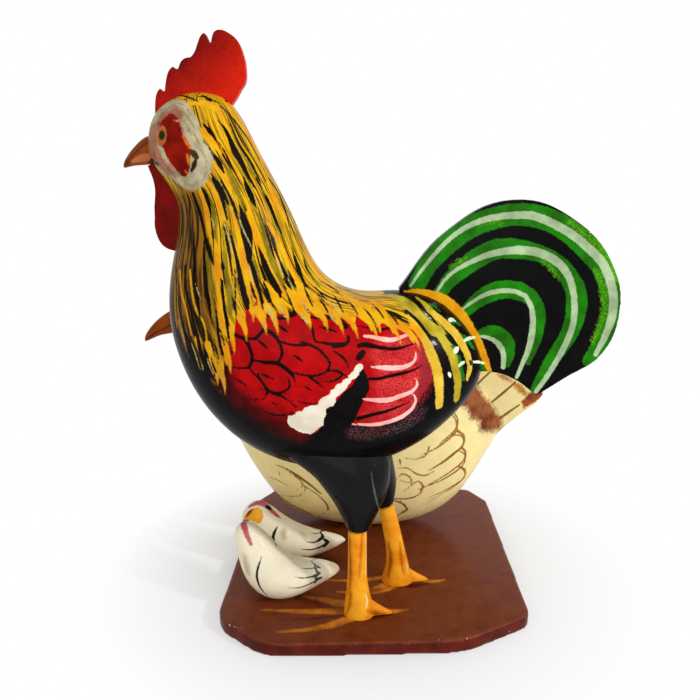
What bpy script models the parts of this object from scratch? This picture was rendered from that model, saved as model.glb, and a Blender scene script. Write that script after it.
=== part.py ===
"""A painted softwood rooster, hen and two chicks on one board.

Sizes are in millimetres until they reach Blender, which works in metres. The birds face -X,
so their left side is the -Y side. The origin is the centre of the board's underside, and every
height in the sections and outlines below is measured from the top of the board.
"""

import math

import bmesh
import bpy
from mathutils import Matrix, Vector

MM = 0.001
CLEARANCE = 0.3

# Board
BOARD_WIDTH = 139.0
BOARD_DEPTH = 156.0
BOARD_THICKNESS = 6.35
BOARD_SIDE_LEAN = 0.024
BOARD_FRONT_LEAN = 0.032
BOARD_LEFT_CUT = (23.0, 20.5)
BOARD_RIGHT_CUT = (32.0, 17.5)
BOARD_BACK_CUT = (9.0, 17.0)
BOARD_LEFT_RADII = (17.0, 24.0)
BOARD_RIGHT_RADII = (36.0, 9.0)
BOARD_BACK_RADIUS = 5.0
BOARD_EDGE_ROUND = 1.2
CORNER_STEPS = 4

# Carved bodies
BODY_SIDES = 14
CHICK_SIDES = 10
THIGH_SIDES = 10
LEG_SIDES = 10
TOE_SIDES = 8
BEAK_SIDES = 8

# Middle plane of each bird
ROOSTER_Y = -44.0
HEN_Y = 37.0
FRONT_CHICK_Y = -41.7
REAR_CHICK_Y = -5.0

# Flat pieces let into saw kerfs
COMB_THICKNESS = 5.0
WATTLE_THICKNESS = 4.5
TAIL_THICKNESS = 6.0
HEN_COMB_THICKNESS = 4.0
HEN_WATTLE_THICKNESS = 3.5
HEN_TAIL_THICKNESS = 5.0
PLATE_EDGE_ROUND = 0.9

# Legs and pegs
SHANK_WIDTH = 8.2
TENON_RADIUS = 2.5
FOOT_TENON_DEPTH = 5.0
THIGH_TENON_LENGTH = 12.0
PEG_RADIUS = 2.0
PEG_LENGTH = 26.0
LEFT_LEG_Y = -57.0
RIGHT_LEG_Y = -29.5

# Nails
NAIL_RADIUS = 0.9
TAIL_NAIL_HEAD_RADIUS = 1.1
TAIL_NAIL_HEAD_HEIGHT = 0.6
BOARD_NAIL_HEAD_RADIUS = 2.3
BOARD_NAIL_HEAD_HEIGHT = 1.2
HEN_NAIL_BITE = 14.0
CHICK_NAIL_BITE = 8.0

# Sections of the carvings, nose to rump: underside point, back point, half width.
# A section whose two points are the same closes the form.
ROOSTER_SECTIONS = (
    ((-76.0, 221.6), (-76.0, 221.6), 0.0),
    ((-89.2, 214.6), (-61.5, 220.2), 10.0),
    ((-92.4, 205.5), (-55.6, 212.8), 15.5),
    ((-93.0, 196.2), (-50.4, 202.2), 17.5),
    ((-86.8, 188.2), (-45.6, 193.0), 18.0),
    ((-81.2, 179.0), (-39.9, 182.4), 18.5),
    ((-81.6, 168.0), (-34.2, 170.6), 20.0),
    ((-84.8, 156.5), (-29.0, 157.4), 23.0),
    ((-87.4, 143.0), (-21.6, 146.6), 26.0),
    ((-87.8, 128.0), (-8.6, 141.2), 28.5),
    ((-83.9, 111.8), (4.2, 142.0), 30.5),
    ((-75.6, 93.6), (13.4, 142.5), 31.5),
    ((-60.4, 77.0), (22.6, 139.9), 32.0),
    ((-40.0, 66.8), (31.0, 134.2), 31.0),
    ((-16.6, 64.2), (37.2, 127.4), 28.0),
    ((5.4, 69.8), (41.8, 120.0), 23.0),
    ((22.6, 80.6), (44.3, 112.4), 16.0),
    ((33.8, 92.6), (43.6, 105.6), 8.0),
    ((40.4, 99.0), (40.4, 99.0), 0.0),
)
HEN_SECTIONS = (
    ((-108.0, 116.0), (-108.0, 116.0), 0.0),
    ((-106.6, 109.0), (-103.8, 124.2), 8.0),
    ((-100.2, 102.8), (-95.2, 129.8), 11.5),
    ((-92.7, 96.5), (-83.5, 128.4), 13.0),
    ((-87.2, 86.5), (-71.5, 120.2), 15.0),
    ((-82.6, 74.0), (-59.0, 110.6), 18.5),
    ((-78.2, 60.0), (-46.0, 102.0), 23.5),
    ((-73.2, 44.0), (-32.0, 96.0), 28.0),
    ((-66.2, 28.0), (-17.0, 91.6), 31.0),
    ((-54.2, 12.5), (-2.0, 89.2), 33.0),
    ((-36.0, 2.0), (12.0, 88.2), 33.5),
    ((-11.0, -1.4), (26.0, 88.0), 33.0),
    ((14.0, -1.2), (38.0, 87.5), 30.5),
    ((35.5, 5.6), (46.0, 86.8), 25.5),
    ((48.8, 16.2), (51.0, 86.2), 20.0),
    ((57.4, 29.0), (55.0, 84.4), 14.5),
    ((64.6, 42.0), (59.5, 80.0), 10.0),
    ((70.4, 51.4), (64.8, 73.2), 6.5),
    ((70.6, 62.6), (70.6, 62.6), 0.0),
)
FRONT_CHICK_SECTIONS = (
    ((-61.2, 36.4), (-61.2, 36.4), 0.0),
    ((-64.6, 33.0), (-57.0, 36.0), 4.2),
    ((-64.5, 27.8), (-52.5, 32.6), 6.0),
    ((-63.5, 21.5), (-48.2, 27.9), 7.5),
    ((-62.2, 14.5), (-43.5, 21.8), 9.5),
    ((-59.0, 6.5), (-38.5, 18.0), 11.3),
    ((-52.5, 0.6), (-33.5, 16.8), 11.8),
    ((-44.0, -1.2), (-29.5, 16.6), 10.5),
    ((-35.0, 1.0), (-25.5, 16.8), 7.8),
    ((-27.0, 5.2), (-21.5, 16.3), 4.8),
    ((-20.4, 9.0), (-17.8, 15.0), 2.4),
    ((-16.2, 12.2), (-16.2, 12.2), 0.0),
)
REAR_CHICK_SECTIONS = (
    ((-62.4, 29.2), (-62.4, 29.2), 0.0),
    ((-66.8, 24.0), (-58.0, 29.8), 4.5),
    ((-67.6, 18.8), (-53.0, 28.1), 6.5),
    ((-63.2, 13.0), (-48.0, 23.0), 8.0),
    ((-59.2, 6.5), (-43.0, 19.0), 10.0),
    ((-53.2, 0.8), (-37.5, 16.0), 10.5),
    ((-45.0, -1.2), (-32.5, 13.8), 10.5),
    ((-36.0, -0.8), (-28.0, 12.6), 9.0),
    ((-28.0, 1.0), (-23.5, 11.8), 6.5),
    ((-20.5, 4.2), (-18.2, 11.1), 3.6),
    ((-12.6, 8.2), (-12.6, 8.2), 0.0),
)

# Beaks, root to tip: underside point, upper point, half width
ROOSTER_BEAK_SECTIONS = (
    ((-84.6, 199.6), (-84.6, 199.6), 0.0),
    ((-85.2, 196.6), (-85.2, 202.8), 3.2),
    ((-89.6, 194.4), (-89.6, 204.6), 4.8),
    ((-93.4, 193.2), (-93.0, 204.8), 5.0),
    ((-97.0, 193.2), (-96.4, 202.4), 4.0),
    ((-100.4, 192.8), (-100.2, 198.6), 2.6),
    ((-102.9, 192.0), (-102.9, 195.0), 1.2),
    ((-103.6, 192.4), (-103.6, 192.4), 0.0),
)
HEN_BEAK_SECTIONS = (
    ((-99.5, 115.6), (-99.5, 115.6), 0.0),
    ((-100.2, 112.4), (-100.0, 119.2), 3.0),
    ((-105.0, 109.2), (-104.4, 122.4), 4.8),
    ((-109.6, 108.2), (-108.6, 121.0), 4.8),
    ((-114.4, 107.6), (-113.4, 118.0), 4.0),
    ((-119.0, 105.6), (-118.6, 113.6), 2.8),
    ((-122.8, 103.8), (-123.0, 107.8), 1.3),
    ((-123.8, 104.2), (-123.8, 104.2), 0.0),
)

# Thighs, top to bottom: left point, right point, half width
LEFT_THIGH_SECTIONS = (
    ((-10.0, 84.0), (-10.0, 84.0), 0.0),
    ((-20.0, 80.5), (0.5, 80.5), 7.5),
    ((-25.0, 72.0), (5.0, 72.0), 10.5),
    ((-23.8, 62.5), (4.6, 62.5), 10.8),
    ((-18.9, 53.6), (2.8, 54.6), 9.0),
    ((-15.4, 46.0), (-0.8, 46.8), 6.6),
    ((-13.4, 41.6), (-3.2, 41.6), 5.0),
    ((-13.2, 40.6), (-3.4, 40.6), 4.8),
    ((-8.3, 40.6), (-8.3, 40.6), 0.0),
)
RIGHT_THIGH_SECTIONS = (
    ((-4.5, 83.0), (-4.5, 83.0), 0.0),
    ((-13.0, 79.5), (3.5, 79.5), 7.5),
    ((-15.0, 71.0), (6.0, 71.0), 10.5),
    ((-12.8, 61.0), (8.0, 61.0), 10.8),
    ((-8.8, 52.2), (9.9, 52.0), 9.0),
    ((-4.0, 45.4), (9.4, 46.8), 6.6),
    ((0.2, 39.6), (8.7, 42.0), 5.0),
    ((0.6, 38.0), (8.6, 40.4), 4.8),
    ((4.6, 39.2), (4.6, 39.2), 0.0),
)

# Legs, cuff to sole: height, middle, width, half depth. A cuff slants up towards the rear,
# and the last section lies below the board's top, where the sole is sawn off flat.
LEFT_LEG_SECTIONS = (
    (40.2, -8.8, SHANK_WIDTH, 4.0),
    (39.2, -8.8, SHANK_WIDTH, 4.0),
    (25.7, -8.8, SHANK_WIDTH, 4.0),
    (17.5, -8.8, SHANK_WIDTH + 0.3, 4.0),
    (11.7, -8.6, SHANK_WIDTH + 1.8, 4.3),
    (6.8, -8.4, SHANK_WIDTH + 3.6, 5.0),
    (3.4, -8.0, SHANK_WIDTH + 4.6, 5.8),
    (1.0, -7.9, SHANK_WIDTH + 5.6, 6.4),
    (-1.6, -7.9, SHANK_WIDTH + 5.8, 6.5),
)
RIGHT_LEG_SECTIONS = (
    (38.6, 4.9, SHANK_WIDTH - 1.2, 3.8),
    (37.6, 5.2, SHANK_WIDTH - 1.1, 3.8),
    (27.0, 7.7, SHANK_WIDTH - 0.1, 4.0),
    (17.0, 9.6, SHANK_WIDTH + 0.5, 4.0),
    (11.0, 10.5, SHANK_WIDTH + 2.0, 4.3),
    (6.0, 10.7, SHANK_WIDTH + 4.0, 5.0),
    (3.0, 10.8, SHANK_WIDTH + 5.6, 5.8),
    (1.0, 10.8, SHANK_WIDTH + 7.0, 6.4),
    (-1.6, 10.8, SHANK_WIDTH + 7.4, 6.5),
)

LEFT_CUFF_SLANT = 0.0
RIGHT_CUFF_SLANT = 2.4

# Rear toe of each foot: distance behind the middle of the leg's foot, height, half width.
# It starts below the board's top, where the sole is sawn off, and stands a little off the
# leg's own middle plane.
REAR_TOE_SECTIONS = (
    (0.0, 10.0, 3.4),
    (4.5, 7.0, 3.2),
    (8.5, 4.0, 2.4),
    (12.5, 1.9, 1.4),
    (14.6, 1.0, 0.6),
)
TOE_FLOOR = -1.4
TOE_OFFSET = -0.15

# Outlines of the flat pieces in the side view. A point marked True is a corner.
COMB_OUTLINE = (
    (-89.0, 212.4, True), (-89.4, 218.4, False), (-87.0, 222.8, True), (-85.2, 220.4, True),
    (-84.0, 226.2, False), (-81.6, 230.6, False), (-79.3, 228.8, True), (-77.2, 233.2, False),
    (-74.2, 233.6, False), (-71.8, 238.0, False), (-69.3, 243.2, False), (-67.0, 237.4, True),
    (-65.2, 242.8, False), (-61.6, 244.4, False), (-56.0, 239.6, False), (-53.2, 229.0, False),
    (-56.4, 221.6, False), (-60.6, 213.8, True),
)
COMB_KERF = ((-94.0, 211.8), (-50.0, 214.1))
WATTLE_OUTLINE = (
    (-92.4, 191.6, True), (-91.0, 185.6, False), (-92.0, 174.0, False), (-91.2, 165.6, False),
    (-87.6, 161.0, False), (-85.2, 161.0, False), (-84.0, 167.0, False), (-82.2, 178.0, True),
    (-79.2, 178.0, True), (-79.2, 190.6, True), (-89.8, 190.6, True),
)
WATTLE_TAB = ((-79.2, 178.0), (-89.8, 190.6))
TAIL_OUTLINE = (
    (8.2, 143.2, True), (26.8, 166.2, False), (54.4, 179.6, False), (80.6, 171.0, False),
    (97.6, 151.0, False), (100.8, 132.6, False), (94.4, 115.2, False), (80.0, 105.2, False),
    (68.0, 97.2, True), (58.4, 104.4, False), (47.4, 107.8, False), (40.6, 107.0, False),
    (35.6, 101.0, True),
)
HEN_COMB_OUTLINE = (
    (-102.4, 123.9, True), (-104.0, 127.6, False), (-102.2, 131.4, True), (-100.4, 129.6, True),
    (-99.4, 133.0, False), (-97.0, 135.6, False), (-95.2, 132.8, True), (-93.4, 136.4, False),
    (-90.4, 138.0, False), (-86.2, 135.0, False), (-82.6, 130.4, False), (-81.4, 124.5, True),
)
HEN_COMB_KERF = ((-110.0, 123.6), (-76.0, 124.6))
HEN_WATTLE_OUTLINE = (
    (-103.6, 104.8, True), (-103.6, 101.6, False), (-101.6, 98.0, False), (-99.2, 98.2, False),
    (-97.8, 101.2, True), (-97.8, 107.4, True), (-103.6, 107.4, True),
)
HEN_WATTLE_TAB = ((-97.8, 98.0), (-103.6, 107.4))
HEN_TAIL_OUTLINE = (
    (50.5, 86.2, True), (58.0, 100.0, False), (67.0, 110.0, False), (78.0, 106.4, False),
    (89.0, 92.0, False), (94.6, 77.0, False), (93.4, 73.2, False), (80.4, 61.6, False),
    (72.6, 54.4, False), (63.0, 44.0, True),
)

# Points where nails and pegs are driven
TAIL_NAILS = (
    ("rooster_tail_upper_nail", (22.4, 137.6)),
    ("rooster_tail_lower_nail", (37.0, 114.6)),
)
HEN_NAILS_X = (-14.0, 10.0)
FRONT_CHICK_NAIL_X = -46.0
REAR_CHICK_NAIL_X = -42.0

COLOURS = {
    "board_paint": (0.075, 0.014, 0.006, 1.0),
    "rooster_paint": (0.78, 0.35, 0.01, 1.0),
    "comb_paint": (0.62, 0.012, 0.008, 1.0),
    "beak_paint": (0.55, 0.13, 0.02, 1.0),
    "tail_paint": (0.004, 0.16, 0.006, 1.0),
    "thigh_paint": (0.006, 0.006, 0.007, 1.0),
    "leg_paint": (0.80, 0.24, 0.008, 1.0),
    "hen_paint": (0.80, 0.58, 0.20, 1.0),
    "hen_beak_paint": (0.45, 0.12, 0.02, 1.0),
    "chick_paint": (0.82, 0.76, 0.58, 1.0),
    "nail_steel": (0.05, 0.05, 0.05, 1.0),
    "bare_wood": (0.55, 0.36, 0.18, 1.0),
}


def clear_scene():
    for obj in list(bpy.data.objects):
        bpy.data.objects.remove(obj, do_unlink=True)


def make_collection(name):
    collection = bpy.data.collections.new(name)
    bpy.context.scene.collection.children.link(collection)
    return collection


def make_material(name):
    material = bpy.data.materials.get(name)
    if material is None:
        material = bpy.data.materials.new(name)
        material.use_nodes = True
        shader = material.node_tree.nodes["Principled BSDF"]
        shader.inputs["Base Color"].default_value = COLOURS[name]
        shader.inputs["Roughness"].default_value = 0.55 if name == "bare_wood" else 0.28
        shader.inputs["Metallic"].default_value = 1.0 if name == "nail_steel" else 0.0
        material.diffuse_color = COLOURS[name]
    return material


def add_object(name, mesh, paint=None):
    """Link a mesh as a painted sub-part, or as a cutter when it has no paint."""
    obj = bpy.data.objects.new(name, mesh)
    if paint:
        mesh.materials.append(make_material(paint))
        PARTS.objects.link(obj)
    else:
        obj.hide_render = True
        obj.display_type = "WIRE"
        CUTTERS.objects.link(obj)
    return obj


def board_top(z):
    return BOARD_THICKNESS + z


def loft(name, sections, plane_y, sides, paint=None, grow=0.0, level=1):
    """Carve a closed form through ellipses that stand on the middle plane plane_y.

    Catmull-Clark subdivision draws a ring of control points inwards, so the ring is set out
    larger by the same share and the finished section has the size that is asked for.
    """
    swell = 3.0 / (2.0 + math.cos(2.0 * math.pi / sides))
    mesh = bpy.data.meshes.new(name)
    builder = bmesh.new()
    rings = []
    for under, back, half_width in sections:
        low = Vector((under[0], plane_y, board_top(under[1])))
        high = Vector((back[0], plane_y, board_top(back[1])))
        centre = (low + high) / 2.0
        if half_width == 0.0:
            rings.append([builder.verts.new(centre * MM)])
            continue
        upward = (high - low) / 2.0
        upward += upward.normalized() * grow
        sideways = Vector((0.0, half_width + grow, 0.0))
        ring = []
        for step in range(sides):
            turn = 2.0 * math.pi * step / sides
            point = centre + (upward * math.cos(turn) + sideways * math.sin(turn)) * swell
            ring.append(builder.verts.new(point * MM))
        rings.append(ring)
    if grow:
        push_ends(rings, grow)
    for first, second in zip(rings, rings[1:]):
        bridge(builder, first, second)
    bmesh.ops.recalc_face_normals(builder, faces=builder.faces)
    builder.to_mesh(mesh)
    builder.free()
    mesh.shade_smooth()
    obj = add_object(name, mesh, paint)
    smooth = obj.modifiers.new("carving", "SUBSURF")
    smooth.levels = level
    smooth.render_levels = level
    return obj


def push_ends(rings, grow):
    """Move the two closing points of a grown form outwards by the same amount."""
    for end, neighbour in ((rings[0], rings[1]), (rings[-1], rings[-2])):
        centre = sum((vert.co for vert in neighbour), Vector()) / len(neighbour)
        outward = end[0].co - centre
        if outward.length > 0.0:
            end[0].co += outward.normalized() * grow * MM


def bridge(builder, first, second):
    """Join two neighbouring rings with quads, or a ring and a point with triangles."""
    count = max(len(first), len(second))
    for step in range(count):
        following = (step + 1) % count
        if len(first) == 1:
            builder.faces.new((first[0], second[step], second[following]))
        elif len(second) == 1:
            builder.faces.new((first[step], second[0], first[following]))
        else:
            builder.faces.new((first[step], second[step], second[following], first[following]))


def curve_to_mesh(curve_object, name):
    """Weld an evaluated curve into a mesh that stands in world coordinates."""
    bpy.context.view_layer.update()
    depsgraph = bpy.context.evaluated_depsgraph_get()
    mesh = bpy.data.meshes.new_from_object(curve_object.evaluated_get(depsgraph))
    mesh.name = name
    mesh.transform(curve_object.matrix_world)
    builder = bmesh.new()
    builder.from_mesh(mesh)
    bmesh.ops.remove_doubles(builder, verts=builder.verts, dist=0.00002)
    bmesh.ops.recalc_face_normals(builder, faces=builder.faces)
    builder.to_mesh(mesh)
    builder.free()
    curve = curve_object.data
    bpy.data.objects.remove(curve_object, do_unlink=True)
    bpy.data.curves.remove(curve)
    return mesh


def outline_mesh(name, outline, thickness, matrix, resolution):
    """Extrude a closed outline of (across, up, corner) points to a thickness."""
    curve = bpy.data.curves.new(name, "CURVE")
    curve.dimensions = "2D"
    curve.fill_mode = "BOTH"
    curve.extrude = thickness * MM / 2.0
    spline = curve.splines.new("BEZIER")
    spline.bezier_points.add(len(outline) - 1)
    spline.use_cyclic_u = True
    spline.resolution_u = resolution
    for point, (across, up, corner) in zip(spline.bezier_points, outline):
        point.co = (across * MM, up * MM, 0.0)
        kind = "VECTOR" if corner else "AUTO"
        point.handle_left_type = kind
        point.handle_right_type = kind
    holder = bpy.data.objects.new(name, curve)
    holder.matrix_world = matrix
    bpy.context.scene.collection.objects.link(holder)
    return curve_to_mesh(holder, name)


def upright(plane_y):
    """Turn a flat outline so that its up is +Z and its thickness lies along Y."""
    place = Matrix.Translation((0.0, plane_y * MM, BOARD_THICKNESS * MM))
    return place @ Matrix.Rotation(math.radians(90.0), 4, "X")


def round_edges(obj, width, segments=2):
    bevel = obj.modifiers.new("eased_edges", "BEVEL")
    bevel.width = width * MM
    bevel.segments = segments
    bevel.limit_method = "ANGLE"
    bevel.angle_limit = math.radians(50.0)


def plate(name, outline, thickness, plane_y, paint):
    """Saw a flat piece from its outline and ease its edges."""
    mesh = outline_mesh(name, outline, thickness, upright(plane_y), 3)
    obj = add_object(name, mesh, paint)
    round_edges(obj, PLATE_EDGE_ROUND, 1)
    return obj


def kerf(name, corners, thickness, plane_y):
    """A straight-sided cutter, wider than the plate that it makes room for."""
    outline = [(across, up, True) for across, up in corners]
    mesh = outline_mesh(name, outline, thickness + 2.0 * CLEARANCE, upright(plane_y), 1)
    return add_object(name, mesh)


def rod(name, start, end, radius, paint=None, sides=16):
    """A round bar between two points."""
    start = Vector(start) * MM
    end = Vector(end) * MM
    axis = end - start
    turn = Vector((0.0, 0.0, 1.0)).rotation_difference(axis).to_matrix().to_4x4()
    place = Matrix.Translation((start + end) / 2.0) @ turn
    mesh = bpy.data.meshes.new(name)
    builder = bmesh.new()
    bmesh.ops.create_cone(
        builder, cap_ends=True, segments=sides, radius1=radius * MM, radius2=radius * MM,
        depth=axis.length, matrix=place)
    builder.to_mesh(mesh)
    builder.free()
    mesh.shade_smooth()
    mesh.set_sharp_from_angle(angle=math.radians(40.0))
    return add_object(name, mesh, paint)


def cut(obj, cutter):
    step = obj.modifiers.new("cut_" + cutter.name, "BOOLEAN")
    step.operation = "DIFFERENCE"
    step.object = cutter
    step.solver = "EXACT"


def join(obj, addition):
    step = obj.modifiers.new("join_" + addition.name, "BOOLEAN")
    step.operation = "UNION"
    step.object = addition
    step.solver = "EXACT"


def surface_y(obj, x, z, side):
    """The Y at which a bar driven in from one side first meets a carved form."""
    bpy.context.view_layer.update()
    carved = obj.evaluated_get(bpy.context.evaluated_depsgraph_get())
    start = Vector((x * MM, side * 1.0, board_top(z) * MM))
    hit, point, _normal, _face = carved.ray_cast(start, Vector((0.0, -side, 0.0)))
    if not hit:
        raise ValueError(f"no surface of {obj.name} at x {x}, z {z}")
    return point.y / MM


def filleted(corners):
    """Replace each corner (x, y, radius) of a polygon by an arc."""
    outline = []
    count = len(corners)
    for index, (x, y, radius) in enumerate(corners):
        here = Vector((x, y))
        before = Vector(corners[index - 1][:2]) - here
        after = Vector(corners[(index + 1) % count][:2]) - here
        half = before.angle(after) / 2.0
        reach = radius / math.tan(half)
        centre = here + (before.normalized() + after.normalized()).normalized() * (
            radius / math.sin(half))
        start = here + before.normalized() * reach - centre
        end = here + after.normalized() * reach - centre
        sweep = start.angle_signed(end)
        for step in range(CORNER_STEPS + 1):
            arc = start.copy()
            arc.rotate(Matrix.Rotation(-sweep * step / CORNER_STEPS, 2))
            outline.append((centre.x + arc.x, centre.y + arc.y, True))
    return outline


def board_outline():
    """The board's edge: four cut corners on a blank that was sawn a little out of square."""
    half_width = BOARD_WIDTH / 2.0
    half_depth = BOARD_DEPTH / 2.0
    left, right, back = BOARD_LEFT_CUT, BOARD_RIGHT_CUT, BOARD_BACK_CUT
    corners = (
        (-half_width, -half_depth + left[1], BOARD_LEFT_RADII[0]),
        (-half_width + left[0], -half_depth, BOARD_LEFT_RADII[1]),
        (half_width - right[0], -half_depth, BOARD_RIGHT_RADII[0]),
        (half_width, -half_depth + right[1], BOARD_RIGHT_RADII[1]),
        (half_width, half_depth - back[1], BOARD_BACK_RADIUS),
        (half_width - back[0], half_depth, BOARD_BACK_RADIUS),
        (-half_width + back[0], half_depth, BOARD_BACK_RADIUS),
        (-half_width, half_depth - back[1], BOARD_BACK_RADIUS),
    )
    return filleted([
        (x + BOARD_SIDE_LEAN * y, y + (BOARD_FRONT_LEAN * x if y < 0.0 else 0.0), radius)
        for x, y, radius in corners])


def build_board():
    middle = Matrix.Translation((0.0, 0.0, BOARD_THICKNESS * MM / 2.0))
    mesh = outline_mesh("base_board", board_outline(), BOARD_THICKNESS, middle, 1)
    board = add_object("base_board", mesh, "board_paint")
    round_edges(board, BOARD_EDGE_ROUND)
    return board


def seat_on_board(obj, name):
    """Cut a carving flat where it sits, clear of the board."""
    size = 2.0 * max(BOARD_WIDTH, BOARD_DEPTH)
    depth = 40.0
    mesh = bpy.data.meshes.new(name)
    builder = bmesh.new()
    top = board_top(CLEARANCE) - depth / 2.0
    scale = Matrix.Diagonal((size * MM, size * MM, depth * MM, 1.0))
    bmesh.ops.create_cube(
        builder, size=1.0, matrix=Matrix.Translation((0.0, 0.0, top * MM)) @ scale)
    builder.to_mesh(mesh)
    builder.free()
    cut(obj, add_object(name, mesh))


def kerf_floor(line, thickness, plane_y, name, reach):
    """A saw cut above a straight floor line, reaching past the surface."""
    (x0, z0), (x1, z1) = line
    corners = ((x0, z0 - CLEARANCE), (x1, z1 - CLEARANCE), (x1, z1 + reach), (x0, z0 + reach))
    return kerf(name, corners, thickness, plane_y)


def tab_slot(name, tab, thickness, plane_y, reach_x, reach_z):
    """The slot of a tab, given by its two inner corners, open past the surface."""
    (x_in, z_low), (x_out, z_high) = tab
    corners = (
        (x_in + CLEARANCE, z_low - CLEARANCE - reach_z),
        (x_in + CLEARANCE, z_high + CLEARANCE),
        (x_out - CLEARANCE - reach_x, z_high + CLEARANCE),
        (x_out - CLEARANCE - reach_x, z_low - CLEARANCE - reach_z),
    )
    return kerf(name, corners, thickness, plane_y)


def rear_kerf(name, outline, thickness, plane_y):
    """The saw cut for a tail board: everything behind the straight front edge of its tongue."""
    low = Vector(outline[-1][:2])
    high = Vector(outline[0][:2])
    along = (high - low).normalized()
    ahead = Vector((-along.y, along.x))
    if ahead.x > 0.0:
        ahead.negate()
    past = 14.0
    far = 60.0
    first = low - along * past + ahead * CLEARANCE
    second = high + along * past + ahead * CLEARANCE
    corners = (
        tuple(first), tuple(second), tuple(second - ahead * far), tuple(first - ahead * far))
    return kerf(name, corners, thickness, plane_y)


def build_head_pieces(prefix, body, plane_y, comb, wattle, beak_sections, beak_paint):
    """Comb, wattle and beak, each let into the head from the same sizes."""
    comb_outline, comb_line, comb_thickness = comb
    wattle_outline, wattle_tab, wattle_thickness, reach_x, reach_z = wattle
    cut(body, kerf_floor(comb_line, comb_thickness, plane_y, prefix + "_comb_kerf", 30.0))
    plate(prefix + "_comb", comb_outline, comb_thickness, plane_y, "comb_paint")
    cut(body, tab_slot(
        prefix + "_wattle_slot", wattle_tab, wattle_thickness, plane_y, reach_x, reach_z))
    plate(prefix + "_wattle", wattle_outline, wattle_thickness, plane_y, "comb_paint")
    seat = loft(prefix + "_beak_seat", beak_sections, plane_y, BEAK_SIDES, grow=CLEARANCE)
    cut(body, seat)
    loft(prefix + "_beak", beak_sections, plane_y, BEAK_SIDES, beak_paint)


def nail(name, head, tip, head_radius, head_height):
    """A turned nail: its profile runs down from the middle of the head to the point."""
    head = Vector(head)
    tip = Vector(tip)
    length = (tip - head).length
    point_length = 2.0 * NAIL_RADIUS
    profile = (
        (0.0, 0.0), (head_radius, 0.0), (head_radius, -head_height), (NAIL_RADIUS, -head_height),
        (NAIL_RADIUS, -length + point_length), (0.0, -length))
    mesh = bpy.data.meshes.new(name)
    corners = [(radius * MM, 0.0, height * MM) for radius, height in profile]
    edges = [(step, step + 1) for step in range(len(profile) - 1)]
    mesh.from_pydata(corners, edges, [])
    obj = add_object(name, mesh, "nail_steel")
    obj.location = head * MM
    downward = Vector((0.0, 0.0, -1.0))
    obj.rotation_euler = downward.rotation_difference(tip - head).to_euler()
    turned = obj.modifiers.new("turned", "SCREW")
    turned.steps = 12
    turned.render_steps = 12
    turned.use_merge_vertices = True
    turned.merge_threshold = 0.00001


def build_tail_nails(body, tail):
    """Two nails through the rump and the tail's tongue, heads flush with the near cheek."""
    bite = TAIL_THICKNESS / 2.0 + 3.0
    for name, (x, z) in TAIL_NAILS:
        skin = surface_y(body, x, z, -1.0)
        head = Vector((x, skin + 0.1, board_top(z)))
        tip = Vector((x, ROOSTER_Y + bite, board_top(z)))
        nail(name, head, tip, TAIL_NAIL_HEAD_RADIUS, TAIL_NAIL_HEAD_HEIGHT)
        inward = Vector((0.0, 1.0, 0.0))
        outside = head - inward * 8.0
        bore = rod(
            name + "_bore", outside, tip + inward * CLEARANCE, NAIL_RADIUS + CLEARANCE, sides=12)
        sink = rod(
            name + "_sink", outside, head + inward * (TAIL_NAIL_HEAD_HEIGHT + CLEARANCE),
            TAIL_NAIL_HEAD_RADIUS + CLEARANCE)
        for piece in (body, tail):
            cut(piece, bore)
        cut(body, sink)


def board_nail(name, board, figure, x, y, bite):
    """A nail driven up through the board, its head sunk into the underside."""
    upward = Vector((0.0, 0.0, 1.0))
    head = Vector((x, y, CLEARANCE))
    tip = Vector((x, y, board_top(bite)))
    nail(name, head, tip, BOARD_NAIL_HEAD_RADIUS, BOARD_NAIL_HEAD_HEIGHT)
    below = head - upward * 2.0
    bore = rod(
        name + "_bore", below, tip + upward * CLEARANCE, NAIL_RADIUS + CLEARANCE, sides=12)
    sink = rod(
        name + "_sink", below, head + upward * (BOARD_NAIL_HEAD_HEIGHT + CLEARANCE),
        BOARD_NAIL_HEAD_RADIUS + CLEARANCE)
    cut(board, bore)
    cut(board, sink)
    cut(figure, bore)


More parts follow.
